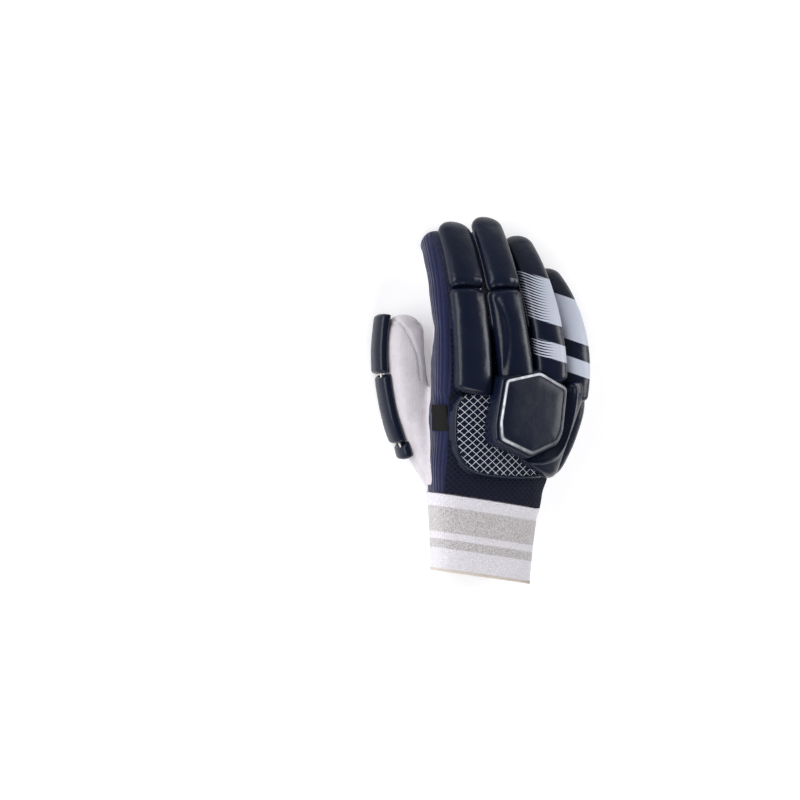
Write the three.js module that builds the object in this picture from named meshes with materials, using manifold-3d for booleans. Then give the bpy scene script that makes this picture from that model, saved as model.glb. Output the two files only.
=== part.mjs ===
// A right-hand cricket batting glove that lies palm down, fingers towards +Y and thumb towards -X.
// The hand is a hollow of cloth and knit, and the padded rolls and guards sit on its back.

import * as THREE from 'three';
import { mergeVertices } from 'three/addons/utils/BufferGeometryUtils.js';
import Module from 'manifold-3d';

const wasm = await Module();
wasm.setup();

// Driving sizes, in millimetres
const palmLength = 121; // from the wrist seam to the crotches of the fingers
const palmWidth = 114; // across the knuckles
const knuckleHeight = 52; // back of the knuckles above the table
const wristY = -59; // middle of the wrist seam
const wristSkew = 9; // degrees that the wrist seam turns towards the thumb side
const clothWall = 1.6; // cotton palm and knitted stalls
const seamGap = 0.3; // clearance where two pieces meet
const fingerLength = 120; // middle finger, from its knuckle to the tip of the cloth
const fingerWidth = 25.5;
const fingerDepth = 24;
const rollWidth = 27; // padded rolls on the back of the fingers
const rollThickness = 17;
const rollGroove = 1.2; // sewn valley between two segments of a roll
const rollSink = 1; // how far a roll or guard presses into the cloth under it
const thumbLength = 123;
const thumbWidth = 34;
const thumbDepth = 29;
const guardWidth = 21; // padded guards along the thumb
const guardThickness = 10;
const cuffLength = 56;
const cuffWidth = 84;
const cuffDepth = 43;
const cuffWall = 3.2; // towelling
const strapLength = 66;
const strapWidth = 44;
const strapThickness = 2.4;
const plateSpan = 65; // six-sided knuckle plate, corner to corner
const plateRise = 18; // top of the plate above the back of the hand
const plateThickness = 3;
const panelThickness = 6; // padded panel with the printed grid
const sidePadThickness = 14;
const tagLength = 19;
const tagThickness = 1;
const frontRound = 5; // how far the hand rounds off past the crotches
const cutterReach = palmLength / 6; // how far a cutting shape runs past what it cuts

// Sections of the hand from the wrist to the crotches: places across are shares of palmWidth,
// heights are shares of knuckleHeight, and skew is a share of wristSkew
const handSections = [
  { along: 0.0, left: -0.456, right: 0.31, under: 0.06, top: 0.88, skew: 1.0 },
  { along: 0.11, left: -0.465, right: 0.335, under: 0.08, top: 0.92, skew: 0.7 },
  { along: 0.25, left: -0.474, right: 0.385, under: 0.13, top: 0.96, skew: 0.3 },
  { along: 0.45, left: -0.48, right: 0.47, under: 0.22, top: 1.0, skew: 0.0 },
  { along: 0.65, left: -0.485, right: 0.545, under: 0.3, top: 1.02, skew: 0.0 },
  { along: 0.82, left: -0.485, right: 0.565, under: 0.36, top: 1.0, skew: 0.0 },
  { along: 0.93, left: -0.478, right: 0.555, under: 0.42, top: 0.94, skew: 0.0 },
  { along: 1.0, left: -0.47, right: 0.535, under: 0.52, top: 0.84, skew: 0.0 },
];

// Fingers: across is a share of palmWidth, knuckle and height place the base as shares of palmLength
// and knuckleHeight, length is a share of fingerLength, width of fingerWidth, roll and shift of
// rollWidth, rollFrom and groove of the finger, and the angles in degrees are the turn in plan at the
// base and the tip, and the slant of the base end of the roll
const fingers = [
  {
    name: 'index', across: -0.36, knuckle: 0.67, height: 0.72, length: 1.03, width: 1.16,
    roll: 1.02, shift: 0.26, rollFrom: 0.0, groove: 0.555, leanBase: -2, leanTip: 4, slant: 12,
  },
  {
    name: 'middle', across: 0.035, knuckle: 0.735, height: 0.77, length: 1.0, width: 1.0,
    roll: 0.98, shift: 0.0, rollFrom: 0.01, groove: 0.505, leanBase: -9, leanTip: 4, slant: 8,
  },
  {
    name: 'ring', across: 0.272, knuckle: 0.72, height: 0.73, length: 0.9, width: 0.96,
    roll: 0.98, shift: 0.0, rollFrom: 0.01, groove: null, leanBase: -4, leanTip: -5, slant: -6,
  },
  {
    name: 'little', across: 0.448, knuckle: 0.68, height: 0.58, length: 0.72, width: 0.88,
    roll: 0.93, shift: 0.06, rollFrom: -0.08, groove: null, leanBase: 6, leanTip: -16, slant: -8,
  },
];
const knuckleRise = 9; // degrees that each finger rises at its knuckle
const fingerTaper = 0.8; // section at the tip as a share of that at the knuckle
const sharpestCurl = -85; // degrees

const rad = THREE.MathUtils.degToRad;
const mix = THREE.MathUtils.lerp;

// A closed solid through rings of points, with a fan of triangles at each end
function loft(rings) {
  const sides = rings[0].length;
  const vertices = rings.flat().flatMap((p) => [p.x, p.y, p.z]);
  const triangles = [];
  for (let r = 0; r + 1 < rings.length; r += 1) {
    for (let i = 0; i < sides; i += 1) {
      const a = r * sides + i;
      const b = r * sides + ((i + 1) % sides);
      triangles.push(a, a + sides, b, b, a + sides, b + sides);
    }
  }
  [0, rings.length - 1].forEach((r) => {
    const hub = vertices.length / 3;
    const middle = new THREE.Vector3();
    rings[r].forEach((p) => middle.addScaledVector(p, 1 / sides));
    vertices.push(middle.x, middle.y, middle.z);
    for (let i = 0; i < sides; i += 1) {
      const a = r * sides + i;
      const b = r * sides + ((i + 1) % sides);
      triangles.push(...(r === 0 ? [hub, a, b] : [hub, b, a]));
    }
  });
  return new wasm.Manifold(new wasm.Mesh({
    numProp: 3,
    vertProperties: new Float32Array(vertices),
    triVerts: new Uint32Array(triangles),
  }));
}

// An upright prism on a plan outline
function prism(outline, low, high) {
  const shape = new THREE.Shape(outline.map(([x, y]) => new THREE.Vector2(x, y)));
  const extruded = new THREE.ExtrudeGeometry(shape, { depth: high - low, bevelEnabled: false });
  extruded.translate(0, 0, low);
  extruded.deleteAttribute('normal');
  extruded.deleteAttribute('uv');
  const merged = mergeVertices(extruded, 1e-5);
  return new wasm.Manifold(new wasm.Mesh({
    numProp: 3,
    vertProperties: new Float32Array(merged.attributes.position.array),
    triVerts: new Uint32Array(merged.index.array),
  }));
}

function block(x0, x1, y0, y1, z0, z1) {
  return prism([[x0, y0], [x1, y0], [x1, y1], [x0, y1]], z0, z1);
}

const uprightSide = new THREE.Vector3(1, 0, 0);
const uprightUp = new THREE.Vector3(0, 0, 1);

// One ring of a rounded oval about a centre: side and up are unit vectors, power squares it off, and
// lean gives how far a point is pushed aside by its place across
function oval({ centre, side, up, halfWide, halfHigh, power, sides = 14, lean = () => new THREE.Vector3() }) {
  return Array.from({ length: sides }, (_, i) => {
    const turn = (2 * Math.PI * (i + 0.5)) / sides;
    const across = Math.sign(Math.cos(turn)) * Math.abs(Math.cos(turn)) ** (2 / power) * halfWide;
    const high = Math.sign(Math.sin(turn)) * Math.abs(Math.sin(turn)) ** (2 / power) * halfHigh;
    return centre.clone().addScaledVector(side, across).addScaledVector(up, high).add(lean(across));
  });
}

const stepsAlong = 24;

// The centre line of a finger or thumb: the turn and the rise change evenly from base to tip
function centreLine({ start, length, leanBase, leanTip, rise, curl }) {
  const points = [start.clone()];
  const heading = (share) => {
    const lean = rad(mix(leanBase, leanTip, share));
    const pitch = rad(mix(rise, curl, share));
    const along = new THREE.Vector3(
      Math.sin(lean) * Math.cos(pitch), Math.cos(lean) * Math.cos(pitch), Math.sin(pitch));
    const side = new THREE.Vector3(Math.cos(lean), -Math.sin(lean), 0);
    return { along, side, up: side.clone().cross(along) };
  };
  for (let i = 0; i < stepsAlong; i += 1) {
    const { along } = heading((i + 0.5) / stepsAlong);
    points.push(points[i].clone().addScaledVector(along, length / stepsAlong));
  }
  const at = (share) => {
    const within = THREE.MathUtils.clamp(share, 0, 1);
    const place = within * stepsAlong;
    const i = Math.min(Math.floor(place), stepsAlong - 1);
    const centre = points[i].clone().lerp(points[i + 1], place - i);
    const axes = heading(within);
    centre.addScaledVector(axes.along, (share - within) * length);
    return { centre, ...axes };
  };
  return { at, length };
}

const stallStations = [0, 0.25, 0.45, 0.6, 0.75, 0.88, 1]; // shares of the straight part of a stall
const stallDome = [32, 60, 82]; // degrees round the dome of its tip

// Rings of a stall with a domed tip, grown outwards on all sides
function stallRings({ line, halfWide, halfDeep, taper, power }, grow) {
  const dome = halfDeep * taper + grow;
  const body = 1 - (halfDeep * taper) / line.length;
  const ring = (share, scale) => {
    const thin = mix(1, taper, Math.min(share, 1));
    return oval({
      ...line.at(share),
      halfWide: (halfWide * thin + grow) * scale,
      halfHigh: (halfDeep * thin + grow) * scale,
      power,
    });
  };
  return [
    ...stallStations.map((share) => ring(share * body, 1)),
    ...stallDome.map((turn) => ring(body + (dome * Math.sin(rad(turn))) / line.length, Math.cos(rad(turn)))),
  ];
}

function lowest(rings) {
  return Math.min(...rings.flat().map((p) => p.z));
}

// Each finger curls from its knuckle until the cloth of its tip touches the table
function bendToTable(finger) {
  const make = (curl) => ({
    line: centreLine({
      start: new THREE.Vector3(
        finger.across * palmWidth, wristY + finger.knuckle * palmLength, finger.height * knuckleHeight),
      length: finger.length * fingerLength,
      leanBase: finger.leanBase,
      leanTip: finger.leanTip,
      rise: knuckleRise,
      curl,
    }),
    halfWide: (finger.width * fingerWidth) / 2,
    halfDeep: fingerDepth / 2,
    taper: fingerTaper,
    power: 2.3,
  });
  const halvings = 24;
  let straight = 0;
  let bent = sharpestCurl;
  for (let i = 0; i < halvings; i += 1) {
    const middle = (straight + bent) / 2;
    if (lowest(stallRings(make(middle), 0)) > 0) {
      straight = middle;
    } else {
      bent = middle;
    }
  }
  return { ...finger, ...make(straight) };
}

const bentFingers = fingers.map(bendToTable);

// The thumb lies on the table beside the hand and turns back towards the fingers
function thumbAt(height) {
  return {
    line: centreLine({
      start: new THREE.Vector3(-0.315 * palmWidth, wristY + 0.17 * palmLength, height),
      length: thumbLength,
      leanBase: -38,
      leanTip: 9,
      rise: -2,
      curl: -1,
    }),
    halfWide: thumbWidth / 2,
    halfDeep: thumbDepth / 2,
    taper: 0.85,
    power: 2.4,
  };
}
const thumbStall = thumbAt(thumbDepth - lowest(stallRings(thumbAt(thumbDepth), 0)));

const tubePower = 2.7; // how squared off the hand and the cuff are
const tubeSides = 22;
const [wristSection] = handSections;
const crotchSection = handSections[handSections.length - 1];

// The form of the hand without its fingers, grown outwards, and past the wrist where asked
function handBody(grow, wristOut = 0) {
  const frontSqueeze = 0.45;
  const ring = (section, y, squeeze = 1) => {
    const left = section.left * palmWidth - grow;
    const right = section.right * palmWidth + grow;
    const under = section.under * knuckleHeight - grow;
    const top = section.top * knuckleHeight + grow;
    const slope = Math.tan(rad(wristSkew * section.skew));
    return oval({
      centre: new THREE.Vector3((left + right) / 2, y, (under + top) / 2),
      side: uprightSide,
      up: uprightUp,
      halfWide: (right - left) / 2,
      halfHigh: ((top - under) / 2) * squeeze,
      power: tubePower,
      sides: tubeSides,
      lean: (across) => new THREE.Vector3(0, -across * slope, 0),
    });
  };
  return loft([
    ...(wristOut > 0 ? [ring(wristSection, wristY - wristOut)] : []),
    ...handSections.map((section) => ring(section, wristY + section.along * palmLength)),
    ring(crotchSection, wristY + palmLength + frontRound + grow, frontSqueeze),
  ]);
}

function hand(grow, wristOut = 0) {
  const stalls = bentFingers.map((finger) => loft(stallRings(finger, grow)));
  return stalls.reduce((all, stall) => all.add(stall), handBody(grow, wristOut));
}

const handOuter = hand(0);
const handClear = hand(seamGap);
const handHollow = hand(-clothWall, cutterReach);
const thumbHollow = loft(stallRings(thumbStall, -clothWall));
const shell = handOuter.subtract(handHollow).subtract(thumbHollow);

// A layer of even thickness that lies on the hand
function layer(thickness) {
  return hand(seamGap + thickness).subtract(handClear);
}

// Everything on the palm side of the seams: under the side seam of the hand, and the fronts of the
// fingers up to a little before their tips
const palmSeam = 0.36; // height of the side seam as a share of the depth of the hand
const frontSeam = 0.45; // half width of the knit that shows beside a finger front, as a share of its depth
const frontStations = [0.2, 0.45, 0.6, 0.75]; // shares of the finger along its front
const frontEnd = 0.9; // where the finger front ends
function palmSide(lift) {
  const margin = 3;
  const besideFinger = 1;
  const pastCrotches = 12;
  const square = (centre, side, up, wide, low, high) => (
    [[wide, low], [wide, high], [-wide, high], [-wide, low]]
      .map(([x, z]) => centre.clone().addScaledVector(side, x).addScaledVector(up, z)));
  const bodyRing = ({ left, right, under, top }, y) => square(
    new THREE.Vector3(((left + right) / 2) * palmWidth, y, 0),
    uprightSide,
    uprightUp,
    ((right - left) / 2) * palmWidth + margin,
    -margin,
    mix(under, top, palmSeam) * knuckleHeight + lift,
  );
  const body = loft([
    bodyRing(wristSection, wristY - cutterReach),
    ...handSections.map((section) => bodyRing(section, wristY + section.along * palmLength)),
    bodyRing(crotchSection, wristY + palmLength + pastCrotches),
  ]);
  return bentFingers.reduce((all, { line, halfWide, halfDeep }) => (
    all.add(loft([...frontStations, frontEnd + lift / line.length].map((share) => {
      const { centre, side, up } = line.at(share);
      const wide = halfWide + besideFinger;
      return square(centre, side, up, wide, -halfDeep - margin, -frontSeam * halfDeep + lift);
    })))
  ), body);
}

const palm = shell.intersect(palmSide(0));
const knit = shell.subtract(palmSide(seamGap));

// The ribbed knit covers the index side of the hand and of the index finger
const ribSeam = -0.412 * palmWidth;
const far = 2 * (palmLength + fingerLength); // past the glove on every side
const ribSide = block(-far, ribSeam, -far, far, -far, far);
const ribClear = block(-far, ribSeam + seamGap, -far, far, -far, far);
const crotchLine = wristY + 1.045 * palmLength;
const aroundStall = 1; // how far the shape that picks out one finger stands off its cloth
const sideKnit = knit.intersect(ribSide);
const backKnit = knit.subtract(ribClear);
const backMesh = backKnit.intersect(block(-far, far, -far, crotchLine, -far, far));
const beyondCrotch = block(-far, far, crotchLine + seamGap, far, -far, far);
const fingerKnits = bentFingers.map((finger) => (
  backKnit.intersect(beyondCrotch).intersect(loft(stallRings(finger, aroundStall)))));

// Ends of a padded bar: each row is how far from the end, and the share of the full section there
const shoulders = [{ way: 0, size: 0.8 }, { way: 1.2, size: 0.92 }, { way: 3.5, size: 1 }];
const shoulder = shoulders[shoulders.length - 1].way;
const barStations = [0.25, 0.5, 0.75, 1]; // shares of the even stretch between the two ends
const barDome = [30, 55, 75]; // degrees round a domed end
const barPower = 2.7;
const tipSeat = 0.85; // height of the cloth under the tip of a bar as a share of that under its base

// A padded roll or guard that follows a finger. It starts in small rounded shoulders and ends in the
// same or in a dome, and turn is the angle in degrees from the back of the finger to its thumb side
function padRings({ line, from, to, wide, thick, turn, seat, shift, slant, domed, sides }, grow) {
  const span = (to - from) * line.length;
  const dome = domed ? 0.45 * wide.tip : 0;
  const thinnest = 0.45; // thickness at the end of a dome as a share of that before it
  const flat = span - (domed ? dome : shoulder);
  const domeEnd = [
    ...barDome.map((angle) => {
      const size = Math.cos(rad(angle));
      return { way: flat + dome * Math.sin(rad(angle)), size, depth: mix(thinnest, 1, size) };
    }),
    { way: span, size: 0.08, depth: 0.4 },
  ];
  const shoulderEnd = shoulders.slice(0, -1).reverse().map(({ way, size }) => ({ way: span - way, size }));
  const stops = [
    ...shoulders,
    ...barStations.map((part) => ({ way: mix(shoulder, flat, part), size: 1 })),
    ...(domed ? domeEnd : shoulderEnd),
  ];
  return stops.map(({ way, size, depth = size }) => {
    const part = way / span;
    const spread = (part * 2 - 1) * grow;
    const { centre, side, up, along } = line.at(from + (way + spread) / line.length);
    const swing = rad(turn);
    const outward = up.clone().multiplyScalar(Math.cos(swing)).addScaledVector(side, -Math.sin(swing));
    const across = side.clone().multiplyScalar(Math.cos(swing)).addScaledVector(up, Math.sin(swing));
    const halfThick = mix(thick.base, thick.tip, part) / 2;
    centre.addScaledVector(outward, seat * mix(1, tipSeat, part) + halfThick * depth);
    centre.addScaledVector(across, shift);
    return oval({
      centre,
      side: across,
      up: outward,
      halfWide: (mix(wide.base, wide.tip, part) / 2 + grow) * size,
      halfHigh: halfThick * depth + grow,
      power: barPower,
      sides,
      lean: (offset) => along.clone().multiplyScalar(-offset * Math.tan(rad(slant)) * (1 - part)),
    });
  });
}

const rollEnd = 0.985; // where a roll ends, as a share of the finger
const rollTipWidth = 0.86; // width and thickness at the tip as shares of those at the base
const rollTipThickness = 0.72;
const rollPads = {};
bentFingers.forEach((finger) => {
  const { name, line, halfDeep, roll, shift, rollFrom, groove, slant } = finger;
  const common = { line, turn: 0, seat: halfDeep - rollSink, shift: shift * rollWidth, sides: 14 };
  const wide = { base: roll * rollWidth, tip: roll * rollWidth * rollTipWidth };
  const thick = { base: rollThickness, tip: rollThickness * rollTipThickness };
  if (groove === null) {
    rollPads[`${name}_roll`] = { ...common, from: rollFrom, to: rollEnd, wide, thick, slant, domed: true };
    return;
  }
  const halfGroove = rollGroove / 2 / line.length;
  const grooveWide = mix(wide.base, wide.tip, 0.5);
  const grooveThick = mix(thick.base, thick.tip, 0.45);
  rollPads[`${name}_roll_base`] = {
    ...common, from: rollFrom, to: groove - halfGroove, slant, domed: false,
    wide: { base: wide.base, tip: grooveWide }, thick: { base: thick.base, tip: grooveThick },
  };
  rollPads[`${name}_roll_tip`] = {
    ...common, from: groove + halfGroove, to: rollEnd, slant: 0, domed: true,
    wide: { base: grooveWide, tip: wide.tip }, thick: { base: grooveThick, tip: thick.tip },
  };
});

// Six-sided knuckle plate on its block: corners as shares of plateSpan about the centre of the plate
const plateCorners = [
  [-0.383, 0.383], [0.117, 0.475], [0.517, 0.283], [0.45, -0.233],
  [0.383, -0.367], [-0.017, -0.517], [-0.467, -0.333], [-0.483, -0.133],
];
const plateX = 0.078 * palmWidth;
const plateY = wristY + 0.537 * palmLength;
const plateTilt = Math.tan(rad(9.5)); // the plate falls towards the little finger
const plateTop = knuckleHeight + plateRise;
const plateScale = 0.92;
const plateEdge = 1; // height of the bevel round the plate

// Sections of the block: rise is a share of plateRise above the knuckles, scale of the plate outline
const blockSections = [
  { rise: -0.67, scale: 1.04 },
  { rise: 0.17, scale: 1.04 },
  { rise: 0.61, scale: 1.01 },
  { rise: 0.78, scale: 0.99 },
];
const blockTopScale = 0.95;
function plateRing(height, scale, grow = 0) {
  return plateCorners.map(([x, y]) => {
    const size = scale + grow / (Math.hypot(x, y) * plateSpan);
    return new THREE.Vector3(
      plateX + x * plateSpan * size,
      plateY + y * plateSpan * size,
      height - x * plateSpan * size * plateTilt,
    );
  });
}
function knuckleBlock(grow) {
  return loft([
    ...blockSections.map(({ rise, scale }) => plateRing(knuckleHeight + rise * plateRise, scale, grow)),
    plateRing(plateTop - plateThickness + grow, blockTopScale, grow),
  ]);
}
const knucklePlate = loft([
  plateRing(plateTop - plateThickness + seamGap, plateScale),
  plateRing(plateTop - plateEdge, plateScale),
  plateRing(plateTop, plateScale - 0.03),
]);
const blockClear = knuckleBlock(seamGap).add(loft([
  plateRing(knuckleHeight, blockTopScale, seamGap),
  plateRing(plateTop + rollThickness, blockTopScale, seamGap),
]));

// Each roll is cut clear of the hand, the block and the rolls before it
const trimmed = {};
let filled = blockClear;
Object.entries(rollPads).forEach(([name, pad]) => {
  trimmed[name] = loft(padRings(pad, 0)).subtract(handClear).subtract(filled);
  filled = filled.add(loft(padRings(pad, seamGap)));
});

// Plan outlines of the guards: shares of palmWidth across and of palmLength from the wrist
const onHand = (outline) => outline.map(([x, y]) => [x * palmWidth, wristY + y * palmLength]);
const sidePadOutline = onHand([
  [0.36, 0.7], [0.53, 0.72], [0.575, 0.66], [0.58, 0.54], [0.54, 0.4], [0.49, 0.28],
  [0.42, 0.17], [0.34, 0.135], [0.25, 0.14], [0.08, 0.22], [0.2, 0.5],
]);
const panelOutline = onHand([
  [-0.365, 0.64], [-0.41, 0.55], [-0.405, 0.36], [-0.36, 0.24], [-0.27, 0.165], [-0.1, 0.135],
  [0.08, 0.125], [0.24, 0.13], [0.22, 0.2], [-0.1, 0.4], [-0.13, 0.62], [-0.2, 0.64],
]);
const padFloor = 0.55 * knuckleHeight; // the side pad and the panel hang down to here
const sidePad = layer(sidePadThickness).intersect(prism(sidePadOutline, padFloor, far)).subtract(filled);
const sidePadClear = hand(2 * seamGap + sidePadThickness)
  .intersect(prism(sidePadOutline, padFloor - seamGap, far));
const gridPanel = layer(panelThickness).intersect(prism(panelOutline, padFloor, far))
  .subtract(filled).subtract(sidePadClear);

// Three guards in a row along the outer side of the thumb, as shares of its length
const guardPads = [
  { name: 'thumb_guard_base', from: 0.2, to: 0.28 },
  { name: 'thumb_guard_middle', from: 0.29, to: 0.655 },
  { name: 'thumb_guard_tip', from: 0.665, to: 0.975 },
];
const guardTurn = 94; // degrees from the back of the thumb to the middle of its guards
const thumbClear = loft(stallRings(thumbStall, seamGap));
guardPads.forEach(({ name, from, to }) => {
  const pad = {
    line: thumbStall.line, from, to, turn: guardTurn, seat: thumbWidth / 2 - rollSink, shift: 0, slant: 0,
    domed: false, sides: 10,
    wide: { base: guardWidth, tip: 0.92 * guardWidth },
    thick: { base: guardThickness, tip: guardThickness },
  };
  trimmed[name] = loft(padRings(pad, 0)).subtract(thumbClear).subtract(handClear);
});

// Towelling cuff, from the wrist seam to the open end: along is a share of cuffLength, middle and
// width of cuffWidth, under and top of cuffDepth
const cuffSections = [
  { along: 0.0, middle: -0.099, width: 1.045, under: 0.03, top: 1.06 },
  { along: 0.12, middle: -0.1, width: 1.0, under: 0.03, top: 1.03 },
  { along: 0.5, middle: -0.105, width: 0.945, under: 0.03, top: 1.0 },
  { along: 1.0, middle: -0.115, width: 0.9, under: 0.03, top: 0.98 },
];
const wristSlope = Math.tan(rad(wristSkew));
const cuffFloor = strapThickness + seamGap;
const cuffTop = wristY - seamGap;
function cuffSolid(grow, over = 0) {
  const ring = (section, y) => oval({
    centre: new THREE.Vector3(section.middle * cuffWidth, y, (section.under + section.top) * cuffDepth * 0.5),
    side: uprightSide,
    up: uprightUp,
    halfWide: (section.width * cuffWidth) / 2 + grow,
    halfHigh: ((section.top - section.under) * cuffDepth) / 2 + grow,
    power: tubePower,
    sides: tubeSides,
    lean: (across) => new THREE.Vector3(0, -across * wristSlope, 0),
  });
  const rows = [...cuffSections].reverse();
  const rings = rows.map((section) => ring(section, cuffTop - section.along * cuffLength));
  if (over > 0) {
    rings.unshift(ring(rows[0], cuffTop - cuffLength - over));
    rings.push(ring(rows[rows.length - 1], cuffTop + over));
  }
  return loft(rings).intersect(block(-far, far, -far, far, cuffFloor - grow, far));
}
const cuff = cuffSolid(0).subtract(cuffSolid(-cuffWall, cutterReach));
const thumbKnit = loft(stallRings(thumbStall, 0)).subtract(thumbHollow).subtract(handClear)
  .subtract(cuffSolid(seamGap));

// The wrist strap comes round the little-finger side and crosses the palm side of the cuff. It is
// cut on a plan outline that runs from its tip, on the thumb side, to its root
const strapMiddle = wristY - cuffLength * 0.53;
const strapRoot = 0.44 * cuffWidth;
const strapTip = strapRoot - strapLength;
const strapPoint = 0.12 * strapLength;
const strapRise = 0.4 * cuffDepth; // height up to which it wraps the little-finger side
const strapOutline = [
  [strapRoot, -0.5], [strapTip + strapPoint, -0.5], [strapTip, -0.2],
  [strapTip, 0.2], [strapTip + strapPoint, 0.5], [strapRoot, 0.5],
].map(([x, y]) => [x, strapMiddle + y * strapWidth - (x - cuffSections[2].middle * cuffWidth) * wristSlope]);
const strap = cuffSolid(seamGap + strapThickness).subtract(cuffSolid(seamGap))
  .intersect(prism(strapOutline, -strapThickness, strapRise));

// The size tag lies on the thumb side of the hand, beside the plate
const tagSide = -0.43 * palmWidth;
const tagBack = plateY - 0.72 * tagLength;
const tagLow = 0.68 * knuckleHeight;
const tagHeight = 0.62 * tagLength;
const tag = layer(tagThickness).intersect(
  block(-far, tagSide, tagBack, tagBack + tagLength, tagLow, tagLow + tagHeight));

const finishes = {
  cotton: { color: 0xe6e2ea, roughness: 0.9, metalness: 0 },
  rib: { color: 0x232a5e, roughness: 0.95, metalness: 0 },
  mesh: { color: 0x151a35, roughness: 0.9, metalness: 0 },
  padding: { color: 0x161d30, roughness: 0.35, metalness: 0 },
  panel: { color: 0x1d2440, roughness: 0.6, metalness: 0 },
  towelling: { color: 0xece9ee, roughness: 1, metalness: 0 },
  strap: { color: 0xf0f0f2, roughness: 0.6, metalness: 0 },
  tag: { color: 0x101114, roughness: 0.8, metalness: 0 },
};

const pieces = [
  ['palm', palm, 'cotton'],
  ['thumb_stall', thumbKnit, 'cotton'],
  ['side_knit', sideKnit, 'rib'],
  ['back_mesh', backMesh, 'mesh'],
  ...bentFingers.map((finger, i) => [`${finger.name}_stall`, fingerKnits[i], 'rib']),
  ...Object.entries(trimmed).map(([name, solid]) => [name, solid, 'padding']),
  ['knuckle_block', knuckleBlock(0).subtract(handClear), 'padding'],
  ['knuckle_plate', knucklePlate, 'padding'],
  ['side_pad', sidePad, 'padding'],
  ['grid_panel', gridPanel, 'panel'],
  ['size_tag', tag, 'tag'],
  ['cuff', cuff, 'towelling'],
  ['wrist_strap', strap, 'strap'],
];

const glove = new THREE.Group();
pieces.forEach(([name, solid, finish]) => {
  const { vertProperties, triVerts } = solid.getMesh();
  const geometry = new THREE.BufferGeometry();
  geometry.setAttribute('position', new THREE.BufferAttribute(new Float32Array(vertProperties), 3));
  geometry.setIndex(new THREE.BufferAttribute(new Uint32Array(triVerts), 1));
  geometry.computeVertexNormals();
  const mesh = new THREE.Mesh(geometry, new THREE.MeshStandardMaterial(finishes[finish]));
  mesh.name = name;
  glove.add(mesh);
});

// The origin is on the table under the middle of the glove
const bounds = new THREE.Box3().setFromObject(glove);
const middle = bounds.getCenter(new THREE.Vector3());
glove.position.set(-middle.x, -middle.y, -bounds.min.z);
glove.updateMatrixWorld(true);

export default glove;
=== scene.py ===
# %% [markdown]
# # A cricket batting glove
# A right-hand batting glove lies palm down. The hand inside is cloth and knit. Thick padded
# rolls sit on the back of the fingers, a six-sided plate guards the knuckles, and a towelling
# cuff closes round the wrist. The CAD frame says where each piece goes, so the frame comes first.

# %% Frame and tools
import math

import bmesh
import bpy
import numpy as np
from mathutils import Matrix, Vector


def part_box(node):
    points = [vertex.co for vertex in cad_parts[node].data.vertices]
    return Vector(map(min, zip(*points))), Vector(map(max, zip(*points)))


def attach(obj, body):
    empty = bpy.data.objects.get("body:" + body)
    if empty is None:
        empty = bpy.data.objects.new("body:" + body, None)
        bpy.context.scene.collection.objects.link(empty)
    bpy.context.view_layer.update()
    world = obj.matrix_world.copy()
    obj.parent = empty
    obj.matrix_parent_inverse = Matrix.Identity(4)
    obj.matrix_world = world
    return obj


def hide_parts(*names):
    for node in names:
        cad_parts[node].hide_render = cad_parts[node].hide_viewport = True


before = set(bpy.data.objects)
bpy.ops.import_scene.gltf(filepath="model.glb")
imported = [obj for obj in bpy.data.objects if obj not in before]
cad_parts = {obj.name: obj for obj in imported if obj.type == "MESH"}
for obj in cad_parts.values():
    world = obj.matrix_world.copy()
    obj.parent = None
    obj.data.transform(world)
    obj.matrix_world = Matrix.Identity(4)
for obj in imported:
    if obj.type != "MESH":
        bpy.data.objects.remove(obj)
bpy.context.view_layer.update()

MM = 0.001
BODY = "root"

# %% [markdown]
# ## Sizes
# Each size here is a real one in millimetres. They are the driving sizes of the glove: the hand,
# the fingers, the rolls and the cuff are all worked out from them. The glove is worked out in its
# own millimetres, with the wrist seam at a fixed place, and then moved into the frame as a whole.

# %% Driving sizes of the glove
PALM_LENGTH = 121
PALM_WIDTH = 114
KNUCKLE_HEIGHT = 52
WRIST_Y = -59
WRIST_SKEW = 9
FINGER_LENGTH = 120
FINGER_WIDTH = 25.5
FINGER_DEPTH = 24
ROLL_WIDTH = 27
ROLL_THICKNESS = 17
THUMB_LENGTH = 123
THUMB_WIDTH = 34
THUMB_DEPTH = 29
GUARD_WIDTH = 21
GUARD_THICKNESS = 10
CUFF_LENGTH = 56
CUFF_WIDTH = 84
CUFF_DEPTH = 43
CUFF_WALL = 3.2
STRAP_LENGTH = 66
STRAP_WIDTH = 44
STRAP_THICKNESS = 2.4
SEAM_GAP = 0.3
PLATE_SPAN = 65
PLATE_RISE = 18
CLOTH_WALL = 1.5

# A power squares off a rounded section: 2 is an oval. A taper is a tip size as a share of the base
STALL_POWER = 2.3
THUMB_POWER = 2.4
HAND_POWER = 2.7
BAR_POWER = 2.4
THUMB_TAPER = 0.85
ROLL_END = 0.985
ROLL_TIP_WIDTH = 0.86
ROLL_TIP_THICKNESS = 0.72
PAD_FLOOR = 29

HAND_COLUMNS = ("along", "left", "right", "under", "top", "skew")
HAND_TABLE = np.array([
    (0.00, -0.456, 0.310, 0.06, 0.88, 1.0),
    (0.11, -0.465, 0.335, 0.08, 0.92, 0.7),
    (0.25, -0.474, 0.385, 0.13, 0.96, 0.3),
    (0.45, -0.480, 0.470, 0.22, 1.00, 0.0),
    (0.65, -0.485, 0.545, 0.30, 1.02, 0.0),
    (0.82, -0.485, 0.565, 0.36, 1.00, 0.0),
    (0.93, -0.478, 0.555, 0.42, 0.94, 0.0),
    (1.00, -0.470, 0.535, 0.52, 0.84, 0.0),
])

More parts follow.
